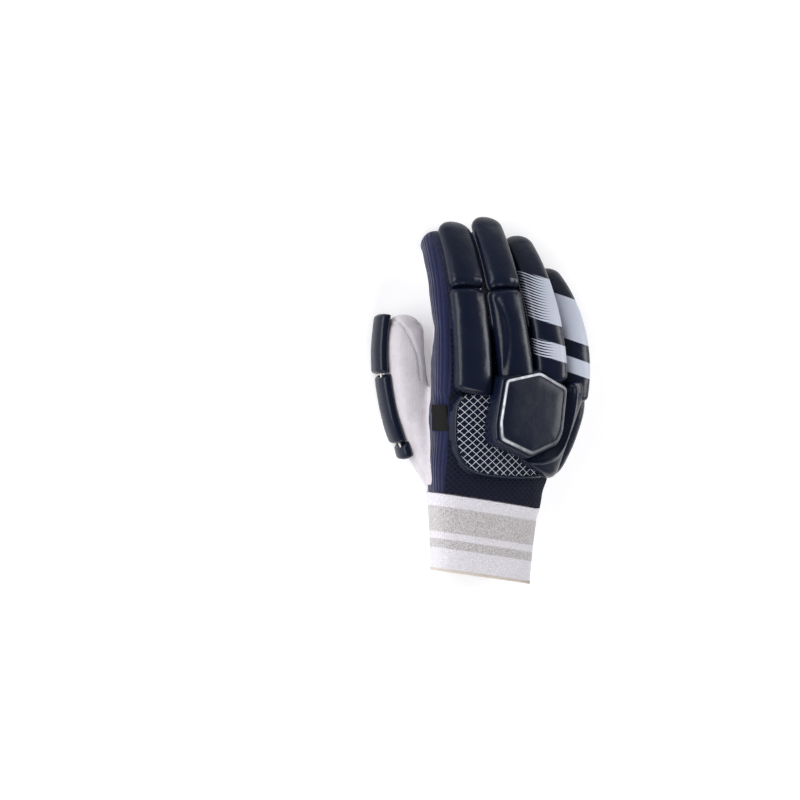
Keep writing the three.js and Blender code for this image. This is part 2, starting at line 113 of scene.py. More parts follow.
FINGERS = {
    "index": dict(across=-0.36, knuckle=0.67, height=0.72, length=1.03, width=1.11,
                  lean=(-2, 4), roll=1.09, shift=0.29, start=0.0, groove=0.555, slant=12),
    "middle": dict(across=0.035, knuckle=0.735, height=0.77, length=1.0, width=1.0,
                   lean=(-9, 4), roll=1.01, shift=-0.12, start=0.01, groove=0.505, slant=8),
    "ring": dict(across=0.272, knuckle=0.72, height=0.73, length=0.9, width=0.96,
                 lean=(-4, -5), roll=0.98, shift=-0.05, start=0.01, groove=None, slant=-6),
    "little": dict(across=0.448, knuckle=0.68, height=0.58, length=0.72, width=0.88,
                   lean=(6, -16), roll=0.93, shift=0.06, start=-0.08, groove=None, slant=-8),
}
RISE = 9
TAPER = 0.8

# %% The place of the glove in the frame
PLATE_CORNERS = np.array([
    (-0.383, 0.383), (0.117, 0.475), (0.517, 0.283), (0.45, -0.233),
    (0.383, -0.367), (-0.017, -0.517), (-0.467, -0.333), (-0.483, -0.133),
])
PLATE_X = 0.078 * PALM_WIDTH
PLATE_Y = WRIST_Y + 0.537 * PALM_LENGTH
PLATE_SCALE = 0.92
plate_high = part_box("knuckle_plate")[1]
SHIFT = np.array([
    plate_high[0] / MM - (PLATE_X + PLATE_CORNERS[:, 0].max() * PLATE_SPAN * PLATE_SCALE),
    plate_high[1] / MM - (PLATE_Y + PLATE_CORNERS[:, 1].max() * PLATE_SPAN * PLATE_SCALE),
    0.0,
])
print("shift of the glove in mm", SHIFT.round(2))

# %% [markdown]
# ## Camera, floor and light
# The photo looks at the glove from above and a little from the thumb side, with a long lens, so
# the camera is placed in the same way: its up is the way the fingers point. Soft area lights
# stand in for a product photographer's light boxes.

# %% Camera
PIXEL = 0.73
VIEW_TILT = math.radians(25)
PHOTO_ZERO = (480, 420)
PHOTO_CENTRE = (400, 400)
view_right = np.array([math.cos(VIEW_TILT), 0, math.sin(VIEW_TILT)])
view_up = np.array([0.0, 1.0, 0.0])
view_back = np.array([-math.sin(VIEW_TILT), 0, math.cos(VIEW_TILT)])
LENS = 120
SENSOR = 36
OBJECT_DEPTH = 37
aim = (
    view_right * (PHOTO_CENTRE[0] - PHOTO_ZERO[0]) * PIXEL
    + view_up * (PHOTO_ZERO[1] - PHOTO_CENTRE[1]) * PIXEL
    + view_back * OBJECT_DEPTH
)
distance = 800 * PIXEL * LENS / SENSOR
camera_data = bpy.data.cameras.new("camera")
camera_data.lens = LENS
camera_data.sensor_width = SENSOR
camera_data.clip_end = 20
camera = bpy.data.objects.new("camera", camera_data)
bpy.context.scene.collection.objects.link(camera)
turn = np.eye(4)
turn[:3, 0], turn[:3, 1], turn[:3, 2] = view_right, view_up, view_back
turn[:3, 3] = (aim + view_back * distance + SHIFT) * MM
camera.matrix_world = Matrix(turn.tolist())
bpy.context.scene.camera = camera
print("camera distance", round(distance), "mm")


# %% Light boxes
def light_box(name, place, target, size, power):
    """An area light at a place, turned towards a target, all in metres."""
    data = bpy.data.lights.new(name, "AREA")
    data.shape = "RECTANGLE"
    data.size, data.size_y = size
    data.energy = power
    lamp = bpy.data.objects.new(name, data)
    lamp.location = place
    lamp.rotation_euler = (Vector(target) - Vector(place)).to_track_quat("-Z", "Y").to_euler()
    bpy.context.scene.collection.objects.link(lamp)


light_box("key", (-0.88, 0.25, 0.55), (0, 0, 0.03), (1.3, 0.6), 13)
light_box("fill", (0.95, 0.20, 0.48), (0, 0, 0.03), (0.8, 0.4), 7.5)
light_box("low", (-0.1, -1.0, 0.6), (0, 0, 0.03), (1.0, 0.3), 6.5)

# %% World
def studio_world(low, high):
    """A white studio that is bright round the sides and dim overhead, so that flat tops stay deep."""
    world = bpy.data.worlds.new("studio")
    world.use_nodes = True
    tree = world.node_tree
    seen = tree.nodes.new("ShaderNodeTexCoord")
    parts = tree.nodes.new("ShaderNodeSeparateXYZ")
    tree.links.new(seen.outputs["Generated"], parts.inputs[0])
    ramp = tree.nodes.new("ShaderNodeMapRange")
    ramp.inputs["From Min"].default_value = 0.15
    ramp.inputs["From Max"].default_value = 0.85
    ramp.inputs["To Min"].default_value = low
    ramp.inputs["To Max"].default_value = high
    tree.links.new(parts.outputs[2], ramp.inputs[0])
    tree.nodes["Background"].inputs["Color"].default_value = (1, 1, 1, 1)
    tree.links.new(ramp.outputs[0], tree.nodes["Background"].inputs["Strength"])
    return world


bpy.context.scene.world = studio_world(low=0.60, high=0.19)
bpy.context.scene.view_settings.view_transform = "Standard"

# %% [markdown]
# ## Shader maths as expressions
# A material is a small graph of maths. One class wraps a socket, so that a pattern can be written
# as an expression: each operator adds one Math node. Everything else goes through `node`.


# %% The socket class
class Wire:
    """A socket of a shader graph that can be added, multiplied and compared."""

    def __init__(self, tree, socket):
        self.tree = tree
        self.socket = socket

    def math(self, operation, *others, clamp=False):
        made = self.tree.nodes.new("ShaderNodeMath")
        made.operation = operation
        made.use_clamp = clamp
        for place, value in enumerate((self, *others)):
            if isinstance(value, Wire):
                self.tree.links.new(value.socket, made.inputs[place])
            else:
                made.inputs[place].default_value = value
        return Wire(self.tree, made.outputs[0])

    def flip(self, operation, other):
        made = self.tree.nodes.new("ShaderNodeMath")
        made.operation = operation
        made.inputs[0].default_value = other
        self.tree.links.new(self.socket, made.inputs[1])
        return Wire(self.tree, made.outputs[0])

    def __add__(self, other):
        return self.math("ADD", other)

    __radd__ = __add__

    def __sub__(self, other):
        return self.math("SUBTRACT", other)

    def __rsub__(self, other):
        return self.flip("SUBTRACT", other)

    def __mul__(self, other):
        return self.math("MULTIPLY", other)

    __rmul__ = __mul__

    def __truediv__(self, other):
        return self.math("DIVIDE", other)

    def sin(self):
        return self.math("SINE")

    def fract(self):
        return self.math("FRACT")

    def fold(self):
        """How far the value is from the middle of its step: 0.5 at the whole numbers, 0 between."""
        return (self.fract() - 0.5).abs()

    def floor(self):
        return self.math("FLOOR")

    def abs(self):
        return self.math("ABSOLUTE")

    def over(self, limit, soft):
        """0 below the limit and 1 above it, over a soft width."""
        return ((self - limit) * (1 / soft) + 0.5).math("ADD", 0.0, clamp=True)

    def under(self, limit, soft):
        return ((self - limit) * (-1 / soft) + 0.5).math("ADD", 0.0, clamp=True)


class Paint:
    """A material under construction, with its Principled shader."""

    def __init__(self, name):
        self.material = bpy.data.materials.new(name)
        self.material.use_nodes = True
        self.tree = self.material.node_tree
        self.shader = self.tree.nodes["Principled BSDF"]

    def node(self, kind, settings=None, output=0, **sockets):
        """Adds a node: its settings first, then the values or wires of its inputs by name."""
        made = self.tree.nodes.new(kind)
        for key, value in (settings or {}).items():
            setattr(made, key, value)
        for key, value in sockets.items():
            socket = made.inputs[int(key[1:])] if key[0] == "i" and key[1:].isdigit() else made.inputs[key]
            if isinstance(value, Wire):
                self.tree.links.new(value.socket, socket)
            else:
                socket.default_value = value
        return Wire(self.tree, made.outputs[output])

    def place(self):
        """Object coordinates in millimetres, as three wires."""
        seen = self.node("ShaderNodeTexCoord", output=3)
        parts = self.tree.nodes.new("ShaderNodeSeparateXYZ")
        self.tree.links.new(seen.socket, parts.inputs[0])
        return [Wire(self.tree, parts.outputs[i]) * 1000.0 for i in range(3)]

    def surface(self):
        """The two coordinates that a piece carries in its UV map, in millimetres."""
        seen = self.node("ShaderNodeUVMap", {"uv_map": "surface"})
        parts = self.tree.nodes.new("ShaderNodeSeparateXYZ")
        self.tree.links.new(seen.socket, parts.inputs[0])
        return Wire(self.tree, parts.outputs[0]) * 1000.0, Wire(self.tree, parts.outputs[1]) * 1000.0

    def spot(self, size, detail=2.0, roughness=0.5):
        """Soft noise with spots of a size in millimetres, from 0 to 1."""
        seen = self.node("ShaderNodeTexCoord", output=3)
        return self.node("ShaderNodeTexNoise", Vector=seen, Scale=1000.0 / size, Detail=detail,
                         Roughness=roughness)

    def mix(self, factor, first, second):
        """A colour between two, by a factor."""
        made = self.tree.nodes.new("ShaderNodeMix")
        made.data_type = "RGBA"
        self.tree.links.new(factor.socket, made.inputs[0])
        for socket, value in ((made.inputs[6], first), (made.inputs[7], second)):
            if isinstance(value, Wire):
                self.tree.links.new(value.socket, socket)
            else:
                socket.default_value = (*value, 1.0)
        return Wire(self.tree, made.outputs[2])

    def set(self, **sockets):
        for key, value in sockets.items():
            socket = self.shader.inputs[key.replace("_", " ")]
            if isinstance(value, Wire):
                self.tree.links.new(value.socket, socket)
            elif isinstance(value, tuple) and len(value) == 3:
                socket.default_value = (*value, 1.0)
            else:
                socket.default_value = value
        return self

    def bump(self, *layers):
        """Stacks bumps: each layer is a height wire and its depth in millimetres."""
        normal = None
        for height, depth in layers:
            made = self.tree.nodes.new("ShaderNodeBump")
            made.inputs["Strength"].default_value = 1.0
            made.inputs["Distance"].default_value = depth * MM
            self.tree.links.new(height.socket, made.inputs["Height"])
            if normal is not None:
                self.tree.links.new(normal, made.inputs["Normal"])
            normal = made.outputs[0]
        self.tree.links.new(normal, self.shader.inputs["Normal"])
        return self


# %% [markdown]
# ## Cloth, leather and print
# Each cloth has a weave of its own. The knit of the finger sides runs in ribs along the finger.
# The mesh has staggered holes. Towelling is a field of small loops. The leather is smooth with a
# fine grain and soft dents. The printed bands and the grid are drawn by distances in millimetres,
# so they keep their size wherever they lie.

# %% Colours of the glove, in linear light
NAVY = (0.0036, 0.0062, 0.0180)
NAVY_WORN = (0.0080, 0.0125, 0.030)
RIB_NAVY = (0.0064, 0.0092, 0.048)
RIB_VALLEY_SHADE = (0.0020, 0.0028, 0.015)
MESH_NAVY = (0.0036, 0.0050, 0.020)
MESH_HOLE_SHADE = (0.0010, 0.0012, 0.004)
COTTON = (0.54, 0.51, 0.55)
COTTON_SHADE = (0.38, 0.35, 0.385)
TOWEL = (0.75, 0.735, 0.795)
BAND_GREY = (0.285, 0.262, 0.255)
PRINT_GREY = (0.45, 0.48, 0.57)
WHITE_PRINT_AND_HIGHLIGHT = (0.80, 0.82, 0.88)
TAG_BLACK = (0.0025, 0.0025, 0.0032)
FLOOR_WHITE = (0.93, 0.93, 0.94)


# %% Plain finishes
def plain(name, colour, roughness):
    return Paint(name).set(Base_Color=colour, Roughness=roughness).material


def leather(name, print_and_highlight=None, dent=0.35):
    """Coated navy leather over foam; a print gives a wire from 0 to 1 and its colour. On the knuckle plate
    the same wire carries the painted highlight of its rim.
    """
    paint = Paint(name)
    patches = paint.spot(34, 3.0).over(0.60, 0.25) * 0.30
    base = paint.mix(patches, NAVY, NAVY_WORN)
    gloss = paint.spot(12) * 0.12 + 0.21
    if print_and_highlight is not None:
        mask, print_and_highlight_colour = print_and_highlight(paint)
        base = paint.mix(mask, base, print_and_highlight_colour)
        gloss = gloss + mask * 0.10
    paint.set(Base_Color=base, Roughness=gloss, Specular_IOR_Level=0.23)
    return paint.bump((paint.spot(9.0), dent), (paint.spot(0.8, 3.0, 0.6), 0.030)).material


# %% Printed bands of the rolls
def glove_rows(paint):
    """How far a point lies towards the wrist and across, in photo pixels, along the slanted bands."""
    x, y, z = paint.place()
    across = (x - float(SHIFT[0])) * math.cos(VIEW_TILT) + z * math.sin(VIEW_TILT)
    across = across / PIXEL + PHOTO_ZERO[0]
    down = (y - float(SHIFT[1])) / -PIXEL + PHOTO_ZERO[1]
    return down, across


def between(wire, low, high, soft=0.6):
    return wire.over(low, soft) * wire.under(high, soft)


def ring_print(paint):
    """Two bands of fine wavy lines that thin out towards the thumb side."""
    down, across = glove_rows(paint)
    row = down - (across - 545.0) * 0.27
    bands = between(row, 277.5, 322.5) + between(row, 341.0, 357.5)
    fade = (across - (row - 277.0) * 0.13 - 528.0) * (1 / 30)
    wave = ((across * 0.16).sin() * 0.9 + row) * (1 / 2.75)
    cover = fade.math("MAXIMUM", 0.0) * 0.55 + 0.17
    lines = (cover - wave.fold()).over(0.0, 0.10)
    return bands.math("MINIMUM", 1.0) * lines, PRINT_GREY


def little_print(paint):
    """Two solid bands."""
    down, across = glove_rows(paint)
    row = down - (across - 580.0) * 0.33
    bands = between(row, 299.5, 342.5) + between(row, 359.5, 375.5)
    return bands.math("MINIMUM", 1.0), PRINT_GREY


def grid_print(paint):
    """A fine white grid of diagonal lines, kept clear of the padded rim."""
    x, y, z = paint.place()
    from_rim, way = paint.surface()
    angle = math.radians(49)
    lines = None
    for side in (1, -1):
        across = (x * math.cos(angle) + y * (side * math.sin(angle))) * (1 / 4.15)
        line = across.fold().under(0.031, 0.032)
        lines = line if lines is None else lines.math("MAXIMUM", line)
    return lines * from_rim.over(3.0, 0.6), WHITE_PRINT_AND_HIGHLIGHT


def rim_highlight(paint):
    """A painted highlight: the white line round the knuckle plate stands for the light reflected on its
    rounded edge, strongest on the finger and thumb sides, towards the key light.
    """
    ring, way = paint.surface()
    x, y, z = paint.place()
    # The painted highlight is brighter towards the finger and thumb sides, where the key light falls on the
    # rim.
    strong = (y * 0.7 - x).over(-24.0, 52.0) * 0.86 + 0.14
    # Noise patches break up the painted highlight along the rim.
    patches = paint.spot(7.0, 3.0).over(0.44, 0.20) * 0.5 + 0.5
    return between(ring, 0.15, 1.25, 0.35) * strong * patches, WHITE_PRINT_AND_HIGHLIGHT


# %% Knit, mesh, cotton and towelling
def rib_knit(name):
    """Ribs along the finger, each a column of small stitches."""
    paint = Paint(name)
    around, along = paint.surface()
    rib = (around + paint.spot(26) * 0.4) * (1 / 2.1)
    ridge = rib.fold() * 2.0
    crown = 1.0 - ridge * ridge
    stitch = (along * (1 / 1.5) + rib.floor() * 0.5).fold() * 2.0
    knit = crown * (1.0 - stitch * 0.35)
    # The colour darkens between the ribs: painted shade in the valleys of the knit.
    paint.set(Base_Color=paint.mix(crown.over(0.25, 0.7), RIB_VALLEY_SHADE, RIB_NAVY), Roughness=0.88,
              Specular_IOR_Level=0.25, Sheen_Weight=0.2, Sheen_Roughness=0.5)
    return paint.bump((knit, 0.75), (paint.spot(0.35), 0.06)).material


def mesh_cloth(name):
    """Spacer mesh: rows of small dark holes, each row shifted by half a step."""
    paint = Paint(name)
    x, y, z = paint.place()
    step, rise = 4.3, 2.1
    row = y * (1 / rise)
    even = (row * 0.5).fract().over(0.5, 0.02) * 0.5
    cell_x = ((x * (1 / step) + even).fract() - 0.5) * step
    cell_y = (row.fract() - 0.5) * rise
    far = (cell_x * cell_x * 0.62 + cell_y * cell_y).math("SQRT")
    hole = far.under(0.78, 0.45)
    # The near-black of the holes is painted shade inside them.
    paint.set(Base_Color=paint.mix(hole, MESH_NAVY, MESH_HOLE_SHADE), Roughness=0.85, Specular_IOR_Level=0.2)
    return paint.bump((1.0 - hole, 0.6), (paint.spot(0.5), 0.08)).material


def cotton_knit(name):
    """Soft cotton with fine wales and a faint mottled painted shade, the soft shadows of its folds."""
    paint = Paint(name)
    x, y, z = paint.place()
    wale = ((x + z * 0.3) * (1 / 1.15)).fold() * 2.0
    course = ((y - z * 0.6) * (1 / 1.4)).fold() * 2.0
    mottle = paint.spot(2.6, 4.0, 0.65)
    broad = paint.spot(16.0, 3.0)
    # Painted shade: mottled and broad darker patches stand for shadows in the folds of the cloth.
    shade = mottle.over(0.58, 0.4) * 0.35 + broad.over(0.56, 0.3) * 0.28
    paint.set(Base_Color=paint.mix(shade, COTTON, COTTON_SHADE), Roughness=0.93, Sheen_Weight=0.35,
              Sheen_Roughness=0.5)
    return paint.bump((wale * 0.5 + course * 0.3, 0.12), (paint.spot(0.7, 3.0), 0.16),
                      (paint.spot(6.0), 0.25)).material


def towelling(name):
    """White towelling with two woven grey bands and a beige overlocked edge."""
    paint = Paint(name)
    around, along = paint.surface()
    loops = paint.spot(0.75, 2.0, 0.7)
    bands = between(along, 9.2, 27.6, 0.8) + between(along, 32.6, 39.2, 0.8)
    edge = along.over(54.0, 1.0)
    speck = paint.spot(1.1, 3.0, 0.7).over(0.50, 0.22) * 0.45
    grey = paint.mix(speck, BAND_GREY, TOWEL)
    # Darker between the loops: painted shade in the pile of the towelling.
    shade = paint.mix(loops.over(0.5, 0.5), COTTON_SHADE, TOWEL)
    base = paint.mix(bands.math("MINIMUM", 1.0), shade, grey)
    base = paint.mix(edge * 0.6, base, (0.55, 0.49, 0.42))
    rib = (around * (1 / 1.9)).fold() * 2.0
    paint.set(Base_Color=base, Roughness=0.95, Sheen_Weight=0.4, Sheen_Roughness=0.6)
    return paint.bump((loops, 0.55), (rib, 0.16)).material


def strap_face(name):
    """Smooth white strap with a stitched border and grey bands at its root."""
    paint = Paint(name)
    along, across = paint.surface()
    bands = between(along, 4.0, 9.0) + between(along, 12.5, 16.0)
    inner = across.abs()
    stitch_row = between(inner, 18.3, 19.1, 0.3) * along.over(16.0, 0.5)
    thread = (along * (1 / 2.2)).fold().under(0.34, 0.1)
    seam = stitch_row * thread
    base = paint.mix(bands.math("MINIMUM", 1.0), (0.84, 0.84, 0.87), BAND_GREY)
    base = paint.mix(seam * 0.6, base, (0.45, 0.45, 0.48))
    paint.set(Base_Color=base, Roughness=0.5)
    return paint.bump((1.0 - seam, 0.15), (paint.spot(0.8, 3.0), 0.05)).material


def tag_weave(name):
    paint = Paint(name)
    x, y, z = paint.place()
    weft = (y * 2.2).fold() + (z * 2.2).fold()
    paint.set(Base_Color=TAG_BLACK, Roughness=0.7, Specular_IOR_Level=0.2)
    return paint.bump((weft, 0.08)).material

# %% [markdown]
# ## Centre lines and sections
# A finger is a tube round a bent centre line. The line turns in plan and curls downwards evenly
# from its base to its tip, and the cloth is a rounded oval round it. The same line carries the
# padded roll on the back of the finger, so that roll and finger always belong together.


# %% Centre line of a finger
class Line:
    """A centre line whose turn in plan and rise change evenly along its length."""

    STEPS = 200

    def __init__(self, start, length, lean, rise):
        share = (np.arange(self.STEPS) + 0.5) / self.STEPS
        along = self.heading(share, lean, rise)[0]
        self.points = np.vstack([start, start + np.cumsum(along * length / self.STEPS, axis=0)])
        self.length, self.lean, self.rise = length, lean, rise

    @staticmethod
    def heading(share, lean, rise):
        """Unit vectors along, to the side and up, at shares of the length."""
        turn = np.radians(lean[0] + (lean[1] - lean[0]) * share)
        pitch = np.radians(rise[0] + (rise[1] - rise[0]) * share)
        along = np.stack([np.sin(turn) * np.cos(pitch), np.cos(turn) * np.cos(pitch), np.sin(pitch)], -1)
        side = np.stack([np.cos(turn), -np.sin(turn), np.zeros_like(turn)], -1)
        return along, side, np.cross(side, along)

    def at(self, share):
        """Centres and axes at shares of the length; past either end the line runs on straight."""
        share = np.asarray(share, float)
        inside = np.clip(share, 0, 1)
        grid = np.linspace(0, 1, self.STEPS + 1)
        centre = np.stack([np.interp(inside, grid, self.points[:, k]) for k in range(3)], -1)
        along, side, up = self.heading(inside, self.lean, self.rise)
        return centre + along * ((share - inside) * self.length)[..., None], along, side, up


def oval(turns, half_wide, half_deep, power):
    """Across and up on a rounded oval: |x/a|^p + |z/b|^p = 1."""
    cos, sin = np.cos(turns), np.sin(turns)
    return (np.sign(cos) * np.abs(cos) ** (2 / power) * half_wide,
            np.sign(sin) * np.abs(sin) ** (2 / power) * half_deep)


def even_oval(count, half_wide, half_deep, power):
    """Angles that space points evenly round an oval, so that its corners aren't starved."""
    fine = np.linspace(0, 2 * np.pi, 2001)
    x, z = oval(fine, half_wide, half_deep, power)
    way = np.concatenate([[0], np.cumsum(np.hypot(np.diff(x), np.diff(z)))])
    return np.interp(np.arange(count) / count * way[-1], way, fine)


# %% From arrays to meshes
def new_object(name, points, faces, smooth=True):
    """A mesh object from points in glove millimetres, moved into the frame in metres."""
    mesh = bpy.data.meshes.new(f"{name}_form")
    mesh.from_pydata(((np.asarray(points) + SHIFT) * MM).tolist(), [], [list(f) for f in faces])
    mesh.validate()
    mesh.polygons.foreach_set("use_smooth", np.full(len(mesh.polygons), smooth))
    made = bpy.data.objects.new(f"{name}_dressed", mesh)
    bpy.context.scene.collection.objects.link(made)
    return made


def tube_faces(rings, around, ends=True):
    """Quads between rings of points, and a fan to a hub at each end; hubs follow the ring points."""
    r, i = np.meshgrid(np.arange(rings - 1), np.arange(around), indexing="ij")
    a = r * around + i
    b = r * around + (i + 1) % around
    quads = np.stack([a, a + around, b + around, b], -1).reshape(-1, 4).tolist()
    if not ends:
        return quads
    i = np.arange(around)
    first, last = rings * around, rings * around + 1
    tail = (rings - 1) * around
    start = np.stack([np.full(around, first), i, (i + 1) % around], -1).tolist()
    finish = np.stack([np.full(around, last), tail + (i + 1) % around, tail + i], -1).tolist()
    return quads + start + finish


def tube(name, rings):
    """A closed object from rings of points, an array of rings by points by 3."""
    count, around = rings.shape[:2]
    hubs = np.stack([rings[0].mean(0), rings[-1].mean(0)])
    return new_object(name, np.vstack([rings.reshape(-1, 3), hubs]), tube_faces(count, around))


def waves(points, size, seed, count=7):
    """Smooth wandering noise: a sum of a few slanted sine waves of about one size."""
    pick = np.random.default_rng(seed)
    total = np.zeros(len(points))
    for _ in range(count):
        direction = pick.normal(size=3)
        direction *= 2 * np.pi / (size * np.linalg.norm(direction)) * pick.uniform(0.7, 1.4)
        total += np.sin(points @ direction + pick.uniform(0, 2 * np.pi))
    return total / count


def curve(points, count):
    """A smooth curve through points by Catmull-Rom, as an array of points."""
    points = np.asarray(points, float)
    padded = np.vstack([2 * points[0] - points[1], points, 2 * points[-1] - points[-2]])
    at = np.linspace(0, len(points) - 1, count)
    k = np.minimum(at.astype(int), len(points) - 2)
    t = (at - k)[:, None]
    a, b, c, d = (padded[k + i] for i in range(4))
    return 0.5 * (2 * b + (c - a) * t + (2 * a - 5 * b + 4 * c - d) * t ** 2
                  + (3 * b - a - 3 * c + d) * t ** 3)


def paint_surface(thing, around, along):
    """Writes the UV map named surface: two coordinates a vertex, given in millimetres."""
    mesh = thing.data
    layer = mesh.uv_layers.new(name="surface")
    corner = np.empty(len(mesh.loops), dtype=np.int32)
    mesh.loops.foreach_get("vertex_index", corner)
    both = np.stack([np.asarray(around), np.asarray(along)], -1) * MM
    layer.data.foreach_set("uv", both[corner].astype(np.float32).ravel())


def finish_piece(thing, material, replaced=()):
    """Gives a piece its material, its body and the CAD nodes that it stands for."""
    thing.data.materials.clear()
    thing.data.materials.append(material)
    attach(thing, BODY)
    if replaced:
        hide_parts(*replaced)
    print(thing.name, len(thing.data.polygons), "faces")


# %% Finger and thumb stalls
def stall_rings(line, half_wide, half_deep, taper, power, around=56, rings=70, lead=0.0):
    """A tube of cloth round a centre line, with a dome at its tip and a slim lead into the hand."""
    dome = half_deep * taper
    body = 1 - dome / line.length
    straight = np.linspace(-lead, body, rings)
    round_turn = np.linspace(0, np.pi / 2, 16)[1:-1]
    share = np.concatenate([straight, body + dome * np.sin(round_turn) / line.length])
    slim = 1 - 0.5 * np.clip(-straight / max(lead, 0.01), 0, 1)
    scale = np.concatenate([slim, np.cos(round_turn)])
    centre, _, side, up = line.at(share)
    thin = 1 + (taper - 1) * np.clip(share, 0, 1)
    x, z = oval(even_oval(around, half_wide, half_deep, power), 1.0, 1.0, power)
    wide = (half_wide * thin * scale)[:, None, None] * x[None, :, None]
    deep = (half_deep * thin * scale)[:, None, None] * z[None, :, None]
    return centre[:, None, :] + wide * side[:, None, :] + deep * up[:, None, :]


def bend_to_table(spec):
    """Curls a finger from its knuckle until its tip touches the table, by halving the angle."""
    start = np.array([spec["across"] * PALM_WIDTH, WRIST_Y + spec["knuckle"] * PALM_LENGTH,
                      spec["height"] * KNUCKLE_HEIGHT])
    straight, bent = 0.0, -85.0
    for _ in range(24):
        middle = (straight + bent) / 2
        line = Line(start, spec["length"] * FINGER_LENGTH, spec["lean"], (RISE, middle))
        rings = stall_rings(line, spec["width"] * FINGER_WIDTH / 2, FINGER_DEPTH / 2, TAPER,
                            STALL_POWER, 24, 30)
        if rings[..., 2].min() > 0:
            straight = middle
        else:
            bent = middle
    return line


LINES = {name: bend_to_table(spec) for name, spec in FINGERS.items()}
for name, line in LINES.items():
    print(name, "curls to", round(line.rise[1], 1), "tip at", line.at(1.0)[0].round(1))

thumb_start = np.array([-0.315 * PALM_WIDTH, WRIST_Y + 0.17 * PALM_LENGTH, THUMB_DEPTH])
THUMB = dict(length=THUMB_LENGTH, lean=(-38, 9), rise=(-2, -1))
THUMB_SECTION = (THUMB_WIDTH / 2, THUMB_DEPTH / 2, THUMB_TAPER, THUMB_POWER)
trial = stall_rings(Line(thumb_start, **THUMB), *THUMB_SECTION)
thumb_start[2] -= trial[..., 2].min()
THUMB_LINE = Line(thumb_start, **THUMB)


# %% [markdown]
# ## The cloth hand
# The real glove is cut from flat cloth and sewn into one hollow hand. Here the closed forms of
# the palm, the fingers and the thumb are joined and wrapped in one even skin, which rounds the
# crotches as stretched cloth does. The skin is then cut along the real seams, and each cut sheet
# gets the thickness of its cloth. So the pieces meet exactly where the stitching runs.


# %% Sections of the hand
def hand_section(y):
    """Left, right, under, top and slope of the hand at a distance along Y, smoothly between rows."""
    share = np.clip((np.asarray(y, float) - WRIST_Y) / PALM_LENGTH, 0, 1)
    column = {n: np.interp(share, HAND_TABLE[:, 0], HAND_TABLE[:, k]) for k, n in enumerate(HAND_COLUMNS)}
    return (column["left"] * PALM_WIDTH, column["right"] * PALM_WIDTH, column["under"] * KNUCKLE_HEIGHT,
            column["top"] * KNUCKLE_HEIGHT, np.tan(np.radians(WRIST_SKEW * column["skew"])))


def hand_rings(around=120, wrist_out=4.0):
    """Rings of the palm from a little past the wrist seam to its rounded front end."""
    y = np.concatenate([[WRIST_Y - wrist_out], np.linspace(WRIST_Y, WRIST_Y + PALM_LENGTH, 60)])
    squeeze = np.ones(len(y))
    front = np.radians([25, 45, 62, 76])
    y = np.concatenate([y, WRIST_Y + PALM_LENGTH + 6 * np.sin(front)])
    squeeze = np.concatenate([squeeze, np.cos(front)])
    left, right, under, top, slope = hand_section(y)
    x, z = oval(even_oval(around, 50, 18, HAND_POWER), 1.0, 1.0, HAND_POWER)
    across = ((right - left) / 2)[:, None] * x[None, :]
    points = np.empty((len(y), around, 3))
    points[..., 0] = ((left + right) / 2)[:, None] + across
    points[..., 1] = y[:, None] - across * slope[:, None]
    points[..., 2] = ((under + top) / 2)[:, None] + ((top - under) / 2 * squeeze)[:, None] * z[None, :]
    return points


def hand_top(x, y):
    """Height of the back of the hand over a place in plan, from the oval of its section."""
    x, y = np.asarray(x, float), np.asarray(y, float)
    left, right, under, top, slope = hand_section(y)
    middle = (left + right) / 2
    left, right, under, top, slope = hand_section(y + (x - middle) * slope)
    part = np.clip(np.abs(x - (left + right) / 2) / ((right - left) / 2), 0, 0.995)
    return (under + top) / 2 + (top - under) / 2 * (1 - part ** HAND_POWER) ** (1 / HAND_POWER)


# %% The joined skin
VOXEL = 1.15


def skin(forms, voxel, smooth_rounds):
    """Joins closed forms into one even skin and returns its points in millimetres and its triangles."""
    bpy.ops.object.select_all(action="DESELECT")
    for form in forms:
        form.select_set(True)
    bpy.context.view_layer.objects.active = forms[0]
    bpy.ops.object.join()
    whole = forms[0]
    remesh = whole.modifiers.new("remesh", "REMESH")
    remesh.mode = "VOXEL"
    remesh.voxel_size = voxel * MM
    smooth = whole.modifiers.new("smooth", "SMOOTH")
    smooth.factor = 0.5
    smooth.iterations = smooth_rounds
    whole.modifiers.new("triangles", "TRIANGULATE")
    made = whole.evaluated_get(bpy.context.evaluated_depsgraph_get()).to_mesh()
    points = np.empty(len(made.vertices) * 3)
    made.vertices.foreach_get("co", points)
    triangles = np.empty(len(made.polygons) * 3, dtype=np.int32)
    made.polygons.foreach_get("vertices", triangles)
    whole.to_mesh_clear()
    bpy.data.objects.remove(whole)
    return points.reshape(-1, 3) / MM - SHIFT, triangles.reshape(-1, 3)


forms = [tube("palm_form", hand_rings())]
for name, spec in FINGERS.items():
    forms.append(tube(f"{name}_form", stall_rings(
        LINES[name], spec["width"] * FINGER_WIDTH / 2, FINGER_DEPTH / 2, TAPER, STALL_POWER,
        lead=0.3 if name == "index" else 0.0)))
forms.append(tube("thumb_form", stall_rings(THUMB_LINE, *THUMB_SECTION)))
skin_points, skin_triangles = skin(forms, VOXEL, 12)
print("skin", len(skin_points), "points", len(skin_triangles), "triangles")


# %% Where each point of the skin lies
def along_line(points, line, start=-0.05, samples=80):
    """For each point the share along a line, and its place across and above it, by nearest sample."""
    share = np.linspace(start, 1.1, samples)
    centre, along, side, up = line.at(share)
    nearest = np.argmin(((points[:, None, :] - centre[None, :, :]) ** 2).sum(-1), axis=1)
    offset = points - centre[nearest]
    fine = share[nearest] + (offset * along[nearest]).sum(-1) / line.length
    return fine, (offset * side[nearest]).sum(-1), (offset * up[nearest]).sum(-1)


